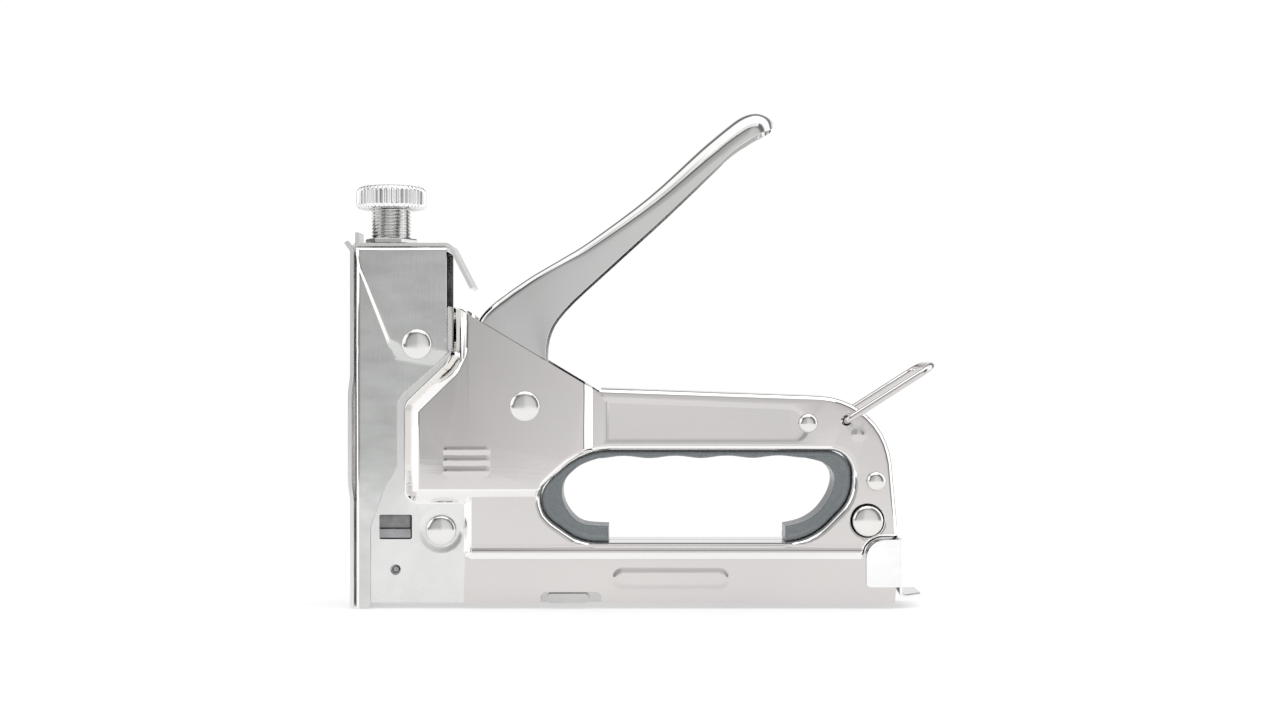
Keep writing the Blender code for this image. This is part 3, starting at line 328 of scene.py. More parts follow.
def mirror_half(bm):
    """Adds the +Y half of a form whose -Y half is given."""
    made = bmesh.ops.duplicate(bm, geom=bm.verts[:] + bm.edges[:] + bm.faces[:])["geom"]
    copies = [g for g in made if isinstance(g, bmesh.types.BMVert)]
    bmesh.ops.scale(bm, vec=(1, -1, 1), verts=copies)
    bmesh.ops.remove_doubles(bm, verts=[v for v in bm.verts if abs(v.co.y) < 1e-6], dist=1e-6)


def face_outwards(bm):
    """Turns an open form so that its broad sides face away from the centre plane."""
    bmesh.ops.recalc_face_normals(bm, faces=bm.faces[:])
    score = sum(f.normal.y * f.calc_center_median().y * f.calc_area() for f in bm.faces)
    if score < 0:
        bmesh.ops.reverse_faces(bm, faces=bm.faces[:])


def bridge(bm, rings):
    """Faces between each closed ring of vertices and the next."""
    for first, second in zip(rings, rings[1:]):
        for k in range(len(first)):
            j = (k + 1) % len(first)
            bm.faces.new((first[k], first[j], second[j], second[k]))


def mesh_piece(name, bm):
    """New object made from a finished bmesh."""
    mesh = bpy.data.meshes.new(name)
    bm.to_mesh(mesh)
    bm.free()
    piece = bpy.data.objects.new(name, mesh)
    bpy.context.scene.collection.objects.link(piece)
    return piece


def modify(piece, kind, **settings):
    """Adds one modifier."""
    modifier = piece.modifiers.new(kind.lower(), kind)
    for key, value in settings.items():
        setattr(modifier, key, value)


def break_edges(piece, width, segments=2, angle=50):
    """Small bevel on every edge sharper than the angle."""
    modify(piece, "BEVEL", width=width * MM, segments=segments, limit_method="ANGLE",
           angle_limit=math.radians(angle))


def bake(piece):
    """Turns the modifiers into plain mesh."""
    graph = bpy.context.evaluated_depsgraph_get()
    mesh = bpy.data.meshes.new_from_object(piece.evaluated_get(graph), preserve_all_data_layers=True,
                                           depsgraph=graph)
    old = piece.data
    piece.modifiers.clear()
    piece.data = mesh
    bpy.data.meshes.remove(old)
    return piece


def settle(piece, smooth_angle=32):
    """Bakes the piece and shades it smooth up to an angle, with the large faces kept flat."""
    mesh = bake(piece).data
    mesh.shade_smooth()
    mesh.set_sharp_from_angle(angle=math.radians(smooth_angle))
    modify(piece, "WEIGHTED_NORMAL", mode="FACE_AREA", weight=100, keep_sharp=True)
    return bake(piece)


def plated_sheet(name, bm, wall):
    """Gives an open surface its thickness, inwards, and takes the sharpness off its cut edges."""
    face_outwards(bm)
    piece = mesh_piece(name, bm)
    modify(piece, "SOLIDIFY", thickness=wall * MM, offset=-1, use_even_offset=True,
           use_quality_normals=True)
    bake(piece)
    break_edges(piece, CUT_EDGE)
    return settle(piece, 40)


def paint_rim_highlights(piece, rim, steepest=0.9):
    """Gives the bends and rims, the faces turned away from the view axis, a brighter plating: a painted
    highlight in place of the white surround that they reflect.
    """
    piece.data.materials.append(rim)
    index = len(piece.data.materials) - 1
    for face in piece.data.polygons:
        if abs(face.normal.y) < steepest:
            face.material_index = index


def dress(piece, body, slot, material, *nodes):
    """Rides the piece on its body and lets it stand for the CAD nodes."""
    piece.data.materials.clear()
    piece.data.materials.append(material)
    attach(piece, body)
    if nodes:
        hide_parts(*nodes)
    return piece


# ---------------- materials

def node(tree, kind, **settings):
    """Adds one shader node."""
    made = tree.nodes.new(kind)
    for key, value in settings.items():
        setattr(made, key, value)
    return made


def noise(tree, coords, scale, detail=2.0, stretch=(1, 1, 1)):
    """Noise value over the object's own coordinates, in cycles per metre."""
    mapping = node(tree, "ShaderNodeMapping")
    mapping.inputs["Scale"].default_value = stretch
    tree.links.new(coords.outputs["Object"], mapping.inputs["Vector"])
    made = node(tree, "ShaderNodeTexNoise")
    made.inputs["Scale"].default_value = scale
    made.inputs["Detail"].default_value = detail
    tree.links.new(mapping.outputs["Vector"], made.inputs["Vector"])
    return made.outputs["Fac"]


def spread(tree, value, low, high):
    """Noise value, which is mostly between 0.3 and 0.7, mapped to low and high."""
    made = node(tree, "ShaderNodeMapRange")
    made.inputs["From Min"].default_value = 0.3
    made.inputs["From Max"].default_value = 0.7
    made.inputs["To Min"].default_value = low
    made.inputs["To Max"].default_value = high
    tree.links.new(value, made.inputs["Value"])
    return made.outputs["Result"]


def blend(tree, factor, first, second, **settings):
    """Colour mix; each argument is an output to link or the value of its socket."""
    made = node(tree, "ShaderNodeMix", data_type="RGBA", **settings)
    colours = [socket for socket in made.inputs if socket.type == "RGBA"]
    for socket, value in zip((made.inputs["Factor"], *colours), (factor, first, second)):
        if isinstance(value, bpy.types.NodeSocket):
            tree.links.new(value, socket)
        else:
            socket.default_value = value
    return [socket for socket in made.outputs if socket.type == "RGBA"][0]


def tone_between(tree, shader, value, first, second):
    """Base colour that drifts between two colours with a noise value."""
    colour = blend(tree, spread(tree, value, 0, 1), (*first, 1), (*second, 1))
    tree.links.new(colour, shader.inputs["Base Color"])


def bump(tree, value, distance_m, strength, under=None):
    """Bump from a value, laid over another bump if one is given."""
    made = node(tree, "ShaderNodeBump")
    made.inputs["Distance"].default_value = distance_m
    made.inputs["Strength"].default_value = strength
    tree.links.new(value, made.inputs["Height"])
    if under:
        tree.links.new(under, made.inputs["Normal"])
    return made.outputs["Normal"]


def new_material(name):
    """Material with its tree, its shader and a coordinate node."""
    material = bpy.data.materials.new(name)
    material.use_nodes = True
    tree = material.node_tree
    return material, tree, tree.nodes["Principled BSDF"], node(tree, "ShaderNodeTexCoord")


def plated(name, colour, tint, rough, grain, grain_depth, wobble=0.00006, smudge=(22, 2, (1, 1, 1))):
    """Bright plating: faint tone changes, rolling marks, uneven gloss and a slight waviness."""
    material, tree, shader, coords = new_material(name)
    tone_between(tree, shader, noise(tree, coords, *smudge), colour, tint)
    shader.inputs["Metallic"].default_value = 1.0
    patches = noise(tree, coords, 90, 4)
    tree.links.new(spread(tree, patches, *rough), shader.inputs["Roughness"])
    waves = bump(tree, noise(tree, coords, 28, 1), wobble * 10, 0.1)
    marks = noise(tree, coords, 140, 5, grain)
    tree.links.new(bump(tree, marks, grain_depth * 10, 0.1, waves), shader.inputs["Normal"])
    return material


def plain(name, colour, tint, tone, gloss, rough, grain, depth, metallic=0.0):
    """Material with noises for its tone and its gloss, each (scale, detail), and a grain."""
    material, tree, shader, coords = new_material(name)
    tone_between(tree, shader, noise(tree, coords, *tone), colour, tint)
    shader.inputs["Metallic"].default_value = metallic
    tree.links.new(spread(tree, noise(tree, coords, *gloss), *rough), shader.inputs["Roughness"])
    tree.links.new(bump(tree, noise(tree, coords, *grain), *depth), shader.inputs["Normal"])
    return material


NICKEL = plated("bright_nickel", (0.62, 0.60, 0.595), (0.65, 0.625, 0.615), (0.04, 0.12), (1, 1, 8),
                0.000004)
COLUMN = plated("column_plating", (0.56, 0.57, 0.56), (0.67, 0.68, 0.67), (0.08, 0.22), (30, 30, 1),
                0.00002, smudge=(75, 4, (1, 1, 2.5)))
LEVER = plated("lever_plating", (0.63, 0.635, 0.63), (0.69, 0.69, 0.68), (0.06, 0.16), (1, 1, 1), 0.000005)
# Brighter plating for the bends and rims: painted highlight.
RIM_HIGHLIGHT = plated("painted_rim_highlight", (0.90, 0.885, 0.87), (0.93, 0.92, 0.91), (0.03, 0.08), (1, 1, 1), 0.000004)
NOSE = plated("nose_plating", (0.68, 0.685, 0.68), (0.80, 0.80, 0.79), (0.14, 0.3), (40, 40, 1), 0.00006)
CAP = plated("cap_plating", (0.84, 0.85, 0.87), (0.93, 0.93, 0.93), (0.1, 0.3), (1, 1, 6), 0.00003)
RIVET = plated("rivet_plating", (0.76, 0.755, 0.74), (0.80, 0.79, 0.77), (0.1, 0.2), (1, 1, 1), 0.00001,
               wobble=0.00004)
KNOB = plated("knob_plating", (0.82, 0.82, 0.82), (0.90, 0.90, 0.90), (0.1, 0.2), (1, 1, 1), 0.00001)
ADJUSTER = plated("adjuster_plating", (0.58, 0.58, 0.58), (0.66, 0.66, 0.65), (0.1, 0.22), (1, 1, 8),
                  0.00001)
CHANNEL = plated("channel_plating", (0.44, 0.44, 0.44), (0.56, 0.55, 0.54), (0.1, 0.22), (1, 1, 12), 0.00002)
INNER = plain("spring_steel", (0.40, 0.40, 0.41), (0.26, 0.26, 0.27), (130, 4), (130, 4), (0.22, 0.42),
              (500, 3, (1, 1, 12)), (0.00005, 0.2), 1.0)
GRIP = plain("grip_plastic", (0.185, 0.205, 0.215), (0.205, 0.225, 0.235), (900, 3), (700, 3), (0.24, 0.32),
             (2200, 2), (0.0001, 0.08))
RUBBER = plain("bumper_rubber", (0.18, 0.18, 0.182), (0.28, 0.28, 0.28), (400, 4), (400, 4), (0.6, 0.85),
               (900, 4), (0.0003, 0.4))


# ---------------- body shells

def body_corners():
    """Outline of a shell, whose upper front side is the slot that the lever leaves through."""
    drop = 0.035 * (BODY_REAR - HANDLE_START)
    notch_left, notch_right, notch_top = 51.8, HANDLE_START, 4.5
    return [
        (2.7, BOTTOM, 0), (notch_left, BOTTOM, 0.8), (notch_left, notch_top, 1.5),
        (notch_right, notch_top, 1.5), (notch_right, BOTTOM, 0.8), (BODY_REAR - 1.0, BOTTOM, 0),
        (BODY_REAR, 19.0, 0), (BODY_REAR - 3.7, HANDLE_TOP - drop, 21), (HANDLE_START, HANDLE_TOP, 0),
        (HANDLE_START - 0.8, HANDLE_TOP - 1.1, 0), (29.0, 84.4, 1.0), (25.6, 85.2, 0.5), (22.0, 80.0, 0),
        (2.7, 80.0, 0),
    ]


def hole_corners():
    """Outline of the finger opening."""
    return [
        (HOLE_LEFT + 10.8, HOLE_TOP, 20), (HOLE_LEFT - 1.3, HOLE_TOP - 11.0, 9),
        (HOLE_LEFT - 0.3, HOLE_BOTTOM + 7.7, 9), (HOLE_LEFT + 10.4, HOLE_BOTTOM, 14),
        (HOLE_RIGHT - 11.8, HOLE_BOTTOM, 18), (HOLE_RIGHT + 0.2, HOLE_BOTTOM + 12.4, 12),
        (HOLE_RIGHT + 0.5, HOLE_TOP, 8),
    ]


PANEL_SLOPE = 4.4           # widths of the pressed slopes
HANDLE_SLOPE = 2.4
SEAT_SLOPE = 0.5
GROOVE_DEPTH = 0.35


def panel_corners():
    """Foot of the raised area round the lever pivot, which runs out over the slot edge."""
    rear = HANDLE_START - 0.4
    return [
        (13.4, 29.4, 4), (HOLE_LEFT + 0.9, 29.4, 2), (rear, HOLE_TOP - 1.5, 3), (rear, COLUMN_TOP + 8, 0),
        (26.8, COLUMN_TOP + 8, 0), (27.0, 72.8, 4), (25.0, 68.8, 4), (13.4, 57.6, 5),
    ]


def handle_corners():
    """Foot of the area at handle level."""
    far = BODY_REAR + 20
    return [(30.0, 13.4, 2.6), (far, 13.4, 0), (far, COLUMN_TOP + 12, 0), (30.0, COLUMN_TOP + 12, 0)]


def cap_seat_corners():
    """Area that is held down at magazine level for the end cap to slide over."""
    front, top, far = CAP_LOW.x - 1.3, CAP_HIGH.z + 1.1, BODY_REAR + 20
    return [(front, -20, 0), (far, -20, 0), (far, top, 0), (front, top, 5.8)]


def magazine_corners():
    """Foot of the area at magazine level."""
    return [(30.0, -20, 0), (BODY_REAR + 20, -20, 0), (BODY_REAR + 20, COLUMN_TOP, 0), (30.0, COLUMN_TOP, 0)]


def groove_corners():
    """Shallow groove between the loop and the magazine side."""
    rear = CAP_LOW.x + 2
    return [(32.0, 16.1, 0), (rear, 16.1, 0), (rear, 18.1, 0), (32.0, 18.1, 0)]


def hand_panel_corners():
    """Shallow sunk field along the handle, between the pivot panel and the rear."""
    left = HANDLE_START + 1.2
    return [(left, HOLE_TOP + 2.4, 0.6), (left + 58, HOLE_TOP + 2.4, 6), (left + 56, HANDLE_TOP - 5.2, 6),
            (left, HANDLE_TOP - 3.2, 0.6)]


def rib_corners(x0, z0, x1, z1):
    """Outline with half-round ends."""
    radius = (z1 - z0) / 2
    return [(x0, z0, radius), (x1, z0, radius), (x1, z1, radius), (x0, z1, radius)]


RIVETS = {                  # level of the sheet that each head sits on
    "front_upper_rivet": HOUSING_RAISED,
    "front_lower_rivet": FLANGE_LEVEL,
    "lever_pivot_pin": PANEL_LEVEL,
    "rear_large_rivet": HANDLE_LEVEL,
    "rear_top_rivet": HANDLE_LEVEL,
    "rear_mid_rivet": HANDLE_LEVEL,
}


def centre(name):
    """Middle in x and z, and half the width, of a CAD node."""
    low, high = span(name)
    return (low.x + high.x) / 2, (low.z + high.z) / 2, (high.x - low.x) / 2


def pressed_areas():
    """Deep steps as (corners, slope, rise), taken one over the other, and shallow ones that add up."""
    steps = [
        (magazine_corners(), HANDLE_SLOPE, MAGAZINE_LEVEL - FLANGE_LEVEL),
        (handle_corners(), HANDLE_SLOPE, HANDLE_LEVEL - FLANGE_LEVEL),
        (panel_corners(), PANEL_SLOPE, PANEL_LEVEL - FLANGE_LEVEL),
    ]
    plain_rib = rib_corners(HANDLE_START + 3.2, 5.6, HANDLE_START + 36, 11.0)
    shallow = [(hand_panel_corners(), 0.6, -0.3), (plain_rib, 0.7, 0.35),
               (groove_corners(), 0.5, -GROOVE_DEPTH)]
    shallow += [(rib_corners(25.0, low, 37.5, low + 1.6), 0.5, 0.3) for low in (38.0, 41.0, 44.0)]
    return steps, shallow


def pressed_rings():
    """Round dimples and bosses as (x, z, radius, slope, rise)."""
    lower_x, lower_z, lower_r = centre("front_lower_rivet")
    large_x, large_z, large_r = centre("rear_large_rivet")
    return [(lower_x, lower_z, lower_r + 1.9, 0.9, -0.35), (large_x, large_z, large_r + 0.7, 0.5, -0.5),
            (BAIL_PIVOT[0] + 3.4, BAIL_PIVOT[1] - 3.9, 1.9, 1.4, 0.45)]


def small_openings():
    """Bail hole, magazine pin hole and the window that shows the bumper."""
    pin_x, pin_z, pin_r = centre("left_magazine_pin")
    top = span("bumper")[1].z
    low = top - 6.9
    window = rounded([(6.2, low, 0.5), (15.4, low, 0.5), (15.4, top, 0.5), (6.2, top, 0.5)], 30)
    return [circle(*BAIL_PIVOT, 1.5, 24), circle(pin_x, pin_z, pin_r + 0.6, 24), window]


def shell_lines(steps, shallow, rings):
    """Mesh lines along every bend of a shell."""
    lines = round_lines(body_corners(), EDGE_ROUND) + round_lines(hole_corners(), EDGE_ROUND, True)
    for corners, width, _ in [*steps, *shallow, (cap_seat_corners(), SEAT_SLOPE, 0)]:
        lines += step_lines(corners, width)
    share = (HANDLE_LEVEL - FLANGE_LEVEL) / (PANEL_LEVEL - FLANGE_LEVEL)
    lines += [rounded(inset(panel_corners(), PANEL_SLOPE * share + extra)) for extra in (-0.15, 0, 0.15)]
    for x, z, radius, width, _ in rings:
        lines += [circle(x, z, radius - d) for d in (-SOFT, 0, SOFT, width - SOFT, width, width + SOFT)
                  if radius - d > 0.3]
    return lines


def build_shells():
    """The two stamped halves, the right one a mirror image of the left."""
    steps, shallow = pressed_areas()
    rings = pressed_rings()
    outline, hole_loop = rounded(body_corners()), rounded(hole_corners())
    skirts = np.concatenate([
        segments(hole_loop),
        segments(outline, lambda x, z: x > HANDLE_START - 0.1 and z > CHANNEL_HIGH.z + GAP),
    ])

    def height(points):
        level = np.full(len(points), FLANGE_LEVEL)
        for corners, width, rise in steps:
            level = np.maximum(level, FLANGE_LEVEL + rise * step_up(depth(points, corners), width))
        for corners, width, rise in shallow:
            level = level + rise * step_up(depth(points, corners), width)
        seat = step_up(depth(points, cap_seat_corners()), SEAT_SLOPE)
        level = level + seat * (MAGAZINE_LEVEL - level)
        for x, z, radius, width, rise in rings:
            away = np.hypot(points[:, 0] - x, points[:, 1] - z)
            level = level + rise * step_up(radius - away, width)
        return level - rim_drop(distance(points, skirts), EDGE_ROUND)

    lines = shell_lines(steps, shallow, rings)
    bm = surface(outline, [hole_loop, *small_openings()], lines, height, skirts, GAP / 2)
    left = plated_sheet("left_shell_skin", bm, SHELL_WALL)
    right = mirrored(left, "right_shell_skin")
    dress(left, "frame", "shell_plate", NICKEL, "left_shell")
    dress(right, "frame", "shell_plate", NICKEL, "right_shell")
    for shell in (left, right):
        brush_nose(shell)
        # painted highlight on the bends and rims
        paint_rim_highlights(shell, RIM_HIGHLIGHT)


def brush_nose(shell):
    """Gives the low front flange of a shell its brushed finish."""
    shell.data.materials.append(NOSE)
    for face in shell.data.polygons:
        low = abs(face.center.y) < (FLANGE_LEVEL + 0.4) * MM
        face.material_index = int(low and face.center.x < 30.2 * MM)


def mirrored(piece, name):
    """Mirror image of a piece about the centre plane."""
    bm = bmesh.new()
    bm.from_mesh(piece.data)
    bmesh.ops.scale(bm, vec=(1, -1, 1), verts=bm.verts[:])
    bmesh.ops.reverse_faces(bm, faces=bm.faces[:])
    other = mesh_piece(name, bm)
    return settle(other, 40)


# ---------------- column

def cheek_corners():
    """Side of the bent housing."""
    nose, waist = 3.7, 11.1
    return [
        (FRONT, 0, 0), (nose, 0, 0.6), (nose, 23.0, 6), (waist - 3.2, 34.5, 3), (waist, 39.0, 4),
        (waist, 59.0, 6), (COLUMN_REAR, 71.5, 2.5), (COLUMN_REAR, COLUMN_TOP, 0), (FRONT, COLUMN_TOP, 0),
    ]


def raised_corners():
    """Upper part of the cheek, raised behind a slanted crease."""
    return [(10.6, 70.0, 1), (COLUMN_REAR + 20, 64.0, 0), (COLUMN_REAR + 20, COLUMN_TOP + 20, 0),
            (-8.0, COLUMN_TOP + 20, 0), (-2.4, 103.0, 0)]


def build_housing():
    """The bent U round the driver, with its front and top rims rounded."""
    raised = raised_corners()
    outline = rounded(cheek_corners())
    front = segments(outline, lambda x, z: abs(x - FRONT) < 0.01)
    top = segments(outline, lambda x, z: abs(z - COLUMN_TOP) < 0.01)
    front_round, top_round = 1.9, 1.3

    def height(points):
        width = 0.9 + 7 * np.clip((76 - points[:, 1]) / 7, 0, 1)
        level = HOUSING_LEVEL + (HOUSING_RAISED - HOUSING_LEVEL) * step_up(depth(points, raised), width)
        drop = np.maximum(rim_drop(distance(points, front), front_round),
                          rim_drop(distance(points, top), top_round))
        return level - drop

    lines = step_lines(raised, 0.9)
    lines += [rounded(inset(raised, d)) for d in (2.2, 3.4, 4.6, 5.8, 7.0, 8.2)]
    lines += [[(-5, z), (COLUMN_REAR + 5, z)] for z in (69.0, 71.0, 73.0, 74.5, 76.0)]
    for angle in ROUND_ANGLES:
        share = 1 - math.cos(angle)
        x, z = FRONT + front_round * share, COLUMN_TOP - top_round * share
        lines += [[(x, -5), (x, COLUMN_TOP + 5)], [(-5, z), (COLUMN_REAR + 5, z)]]
    bm = surface(outline, [], lines, height, np.concatenate([front, top]), 0)
    mirror_half(bm)
    piece = plated_sheet("front_housing_skin", bm, HOUSING_WALL)
    dress(piece, "frame", "housing_plate", COLUMN, "front_housing")
    # painted highlight on the bends and rims
    paint_rim_highlights(piece, RIM_HIGHLIGHT)


def bent_sheet(name, path, rows, half_at, wall, offset, edge, skip):
    """Sheet bent along a side-view path; rows are shares of its half width, and skip leaves faces out."""
    bm = bmesh.new()
    grid = [[bm.verts.new((x * MM, row * half_at(x) * MM, z * MM)) for row in rows] for x, z in path]
    for i in range(len(path) - 1):
        middle = (Vector(path[i]) + Vector(path[i + 1])) / 2
        for k in range(len(rows) - 1):
            if not skip(middle, abs(rows[k] + rows[k + 1]) / 2):
                bm.faces.new((grid[i][k], grid[i + 1][k], grid[i + 1][k + 1], grid[i][k + 1]))
    bmesh.ops.delete(bm, geom=[v for v in bm.verts if not v.link_faces], context="VERTS")
    bmesh.ops.recalc_face_normals(bm, faces=bm.faces[:])
    piece = mesh_piece(name, bm)
    modify(piece, "SOLIDIFY", thickness=wall * MM, offset=offset, use_even_offset=True)
    bake(piece)
    break_edges(piece, edge)
    return settle(piece, 40)


def nose_strip(name, path, half, wall, node_name, slot_foot, slot_half, slot_in_middle):
    """Strip on the nose whose front end is slotted above a height, in its middle or at its sides."""
    rows = sorted({-1.0, -0.94, -0.5, -0.25, 0.0, 0.25, 0.5, 0.94, 1.0, -slot_half / half, slot_half / half})

    def skip(middle, share):
        in_slot = (share * half < slot_half) == slot_in_middle
        return in_slot and middle.y > slot_foot and middle.x < 1.0

    piece = bent_sheet(name, path, rows, lambda x: half, wall, -1, 0.18, skip)
    dress(piece, "frame", "housing_plate", NOSE, node_name)


def build_front_plate():
    """Loose front plate with a shallow bulge and a hooked top, notched for the clip."""
    skin = FRONT - GAP
    hook_x, hook_z = PLATE_LOW.x + PLATE_WALL * 0.9, PLATE_HIGH.z - 0.5
    low, high, bulge = 30.0, 66.0, 0.6
    path = [(skin, GAP)]
    for k in range(25):
        z = low + (high - low) * k / 24
        lift = min(1.0, 6 * min(k, 24 - k) / 24)
        path.append((skin - bulge * (0.5 - 0.5 * math.cos(math.pi * lift)), z))
    path += bent([(skin, COLUMN_TOP - 6, 0), (skin, COLUMN_TOP - 0.8, 1.2), (hook_x, hook_z, 0)])
    nose_strip("front_plate_skin", path, HOUSING_LEVEL - 0.8, PLATE_WALL, "front_plate",
               COLUMN_TOP - 0.8, 4.9, True)


def build_clip():
    """Top clip with an upturned tongue in front and a bent-down tab behind."""
    low = COLUMN_TOP + GAP
    front, back = FRONT - 0.6, COLUMN_REAR + GAP
    path = [(front, CLIP_HIGH.z)]
    path += bent([(front, CLIP_HIGH.z - 0.1, 0), (front, low, 0.6), (back, low, 1.4),
                  (CLIP_HIGH.x - CLIP_WALL * 0.9, CLIP_LOW.z + 0.4, 0)])[1:]
    nose_strip("clip_skin", path, HOUSING_LEVEL - 1.2, CLIP_WALL, "front_plate_clip", low + 0.3, 4.5, False)


def revolve(name, profile, x, z_or_y, sides, upright, ridges=None):
    """Turned form: profile of (radius, height) about a vertical or a crosswise axis."""
    bm = bmesh.new()
    rings = []
    for radius, rise in profile:
        ring = []
        for k in range(sides):
            angle = 2 * math.pi * k / sides
            size = radius + (ridges(angle, rise) if ridges else 0.0)
            a, b = size * math.cos(angle), size * math.sin(angle)
            spot = (x + a, b, rise) if upright else (x + a, rise, z_or_y + b)
            ring.append(bm.verts.new(Vector(spot) * MM))
        rings.append(ring)
    bridge(bm, rings)
    bm.faces.new(rings[0])
    bm.faces.new(rings[-1])
    bmesh.ops.recalc_face_normals(bm, faces=bm.faces[:])
    return mesh_piece(name, bm)


def build_knob():
    """Knurled knob with a dished top and a recess round the screw."""
    low, high = KNOB_LOW.z, KNOB_HIGH.z
    radius = (KNOB_HIGH.x - KNOB_LOW.x) / 2
    ridge_count, ridge_depth = 44, 0.5
    dish = 0.5
    profile = [(0.4, low + 0.6), (6.2, low + 0.6), (6.6, low), (radius - 1.3, low),
               (radius - 0.7, low + 0.15), (radius - 0.15, low + 0.75), (radius, low + 1.2),
               (radius, high - 1.6), (radius - 0.2, high - 1.0), (radius - 0.8, high - 0.3),
               (radius - 1.6, high), (radius - 2.4, high - 0.05), (radius - 3.2, high - dish),
               (0.4, high - dish)]

    def knurl(angle, rise):
        if not low + 0.1 < rise < high - 0.4:
            return 0.0
        fade = min(1.0, max(0.0, (rise - low - 0.2) / 0.6), max(0.0, (high - 0.5 - rise) / 0.7))
        return -ridge_depth * max(0.0, fade) * (0.5 + 0.5 * math.cos(ridge_count * angle)) ** 1.5

    knob = revolve("adjusting_knob_skin", profile, SCREW_X, 0, ridge_count * 6, True, knurl)
    dress(settle(knob, 38), "adjuster", "adjuster_plate", KNOB, "adjusting_knob")


def build_screw():
    """Adjusting screw with a real helical thread and a chamfered start."""
    pitch, per_turn, crest = 1.0, 8, (SCREW_HIGH.x - SCREW_LOW.x) / 2
    bottom, top = SCREW_LOW.z, SCREW_HIGH.z + GAP
    count = int((top - bottom) / pitch * per_turn)
    thread = [(crest, bottom + (top - bottom) * k / count) for k in range(count + 1)]

    def groove(angle, rise):
        phase = (rise / pitch - angle / (2 * math.pi)) % 1.0
        depth_now = 0.55 * (1 - abs(2 * phase - 1))
        lead_in = max(0.0, 1 - (rise - bottom) / 1.2)
        return -depth_now - 0.6 * lead_in

    screw = revolve("adjusting_screw_skin", thread, SCREW_X, 0, 48, True, groove)
    dress(settle(screw, 60), "adjuster", "adjuster_plate", ADJUSTER, "adjusting_screw")


# ---------------- lever

def lever_stations():
    """Matching points along the top line and along the cheek's lower edge, from the root to the tip."""
    tip_x, tip_z = LEVER_HIGH.x, LEVER_HIGH.z
    top = [(33.8, 80.6), (34.5, 81.8), (35.4, 83.1), (36.6, 84.4), (38.0, 85.7), (39.6, 87.0), (41.4, 88.3),
           (43.4, 89.8), (45.6, 91.3)]
    under = []
    for k in range(9):
        angle = math.radians(180 + 24.4 * k)
        under.append((PIVOT[0] + 8.2 * math.cos(angle), PIVOT[1] + 8.2 * math.sin(angle)))
    top += [(49.0, 93.6), (53.2, 96.1), (58.0, 98.9), (66.1, 104.0), (82.2, 116.2), (96.5, 129.4)]
    under += [(53.4, 66.5), (53.6, 76.0), (58.2, 84.0), (71.6, 96.6), (87.8, 111.4), (101.3, 124.4)]
    top += [(100.8, tip_z - 7.1), (104.7, tip_z - 3.9), (107.6, tip_z - 1.7), (110.2, tip_z - 0.45),
            (112.6, tip_z - 0.02), (114.8, tip_z - 0.4), (116.8, tip_z - 1.35), (tip_x - 0.3, tip_z - 2.6)]
    under += [(105.3, 128.3), (108.3, 130.6), (110.8, 132.2), (112.9, 133.5),
              (114.7, 134.4), (116.2, 135.1), (117.3, 135.6), (tip_x - 0.7, 135.9)]
    return smooth_line(top, 4), smooth_line(under, 4)


def channel_section(top, under, half, bend, wall):
    """Half of a U-shaped cross-section, from the web's middle to the cheek's edge, wall inside the skin."""
    drop = Vector(under) - Vector(top)
    down = drop.normalized()
    reach = drop.length
    bend = min(bend, 0.86 * reach, 0.98 * half)
    wall = min(wall, 0.6 * reach)
    half, bend = half - wall, max(bend - wall, 0.2)
    points = [(wall, (half - bend) * k / 4) for k in range(4)]
    for k in range(11):
        angle = math.radians(9 * k)
        points.append((wall + bend * (1 - math.cos(angle)), half - bend + bend * math.sin(angle)))
    side = wall + bend
    points += [(side + (reach - side) * k / 4, half) for k in range(1, 5)]
    return [(top[0] + down.x * along, out, top[1] + down.y * along) for along, out in points]


def channel(name, stations, wall, edge):
    """Sheet bent to a U whose (top, under, half width, bend radius) changes from station to station."""
    bm = bmesh.new()
    rings = []
    for top, under, half, bend in stations:
        outer = channel_section(top, under, half, bend, 0.0)
        inner = channel_section(top, under, half, bend, wall)
        path = [(x, -y, z) for x, y, z in outer[:0:-1]] + outer + inner[::-1]
        path += [(x, -y, z) for x, y, z in inner[1:]]
        rings.append([bm.verts.new((x * MM, y * MM, z * MM)) for x, y, z in path])
    bridge(bm, rings)
    count = len(rings[0])
    for ring in (rings[0], rings[-1]):
        for k in range(count // 2 - 1):
            bm.faces.new((ring[k], ring[k + 1], ring[count - 2 - k], ring[count - 1 - k]))
    bmesh.ops.recalc_face_normals(bm, faces=bm.faces[:])
    piece = mesh_piece(name, bm)
    break_edges(piece, edge, 3)
    return settle(piece, 40)


def build_lever():
    """The pressed lever: a channel whose web widens into a rounded thumb end."""
    tops, unders = lever_stations()
    root_x, tip_x = tops[0][0], LEVER_HIGH.x
    end_length = 10.5
    stations = []
    for top, under in zip(tops, unders):
        share = (top[0] - root_x) / (tip_x - root_x)
        past = min(max((top[0] - (tip_x - end_length)) / end_length, 0.0), 0.955)
        half = (8.8 + 0.7 * share) * (1 - past ** 2.6) ** 0.5
        bend = 2.6 + 5.0 * min(max(share * 1.35 - 0.35, 0.0), 1.0) ** 1.3
        stations.append((top, under, half, bend))
    piece = channel("lever_skin", stations, LEVER_WALL, 0.3)
    dress(piece, "hand_lever", "lever_plate", LEVER, "lever")
    # painted highlight on the bends and rims
    paint_rim_highlights(piece, RIM_HIGHLIGHT, 0.84)


# ---------------- rivets, bail, springs

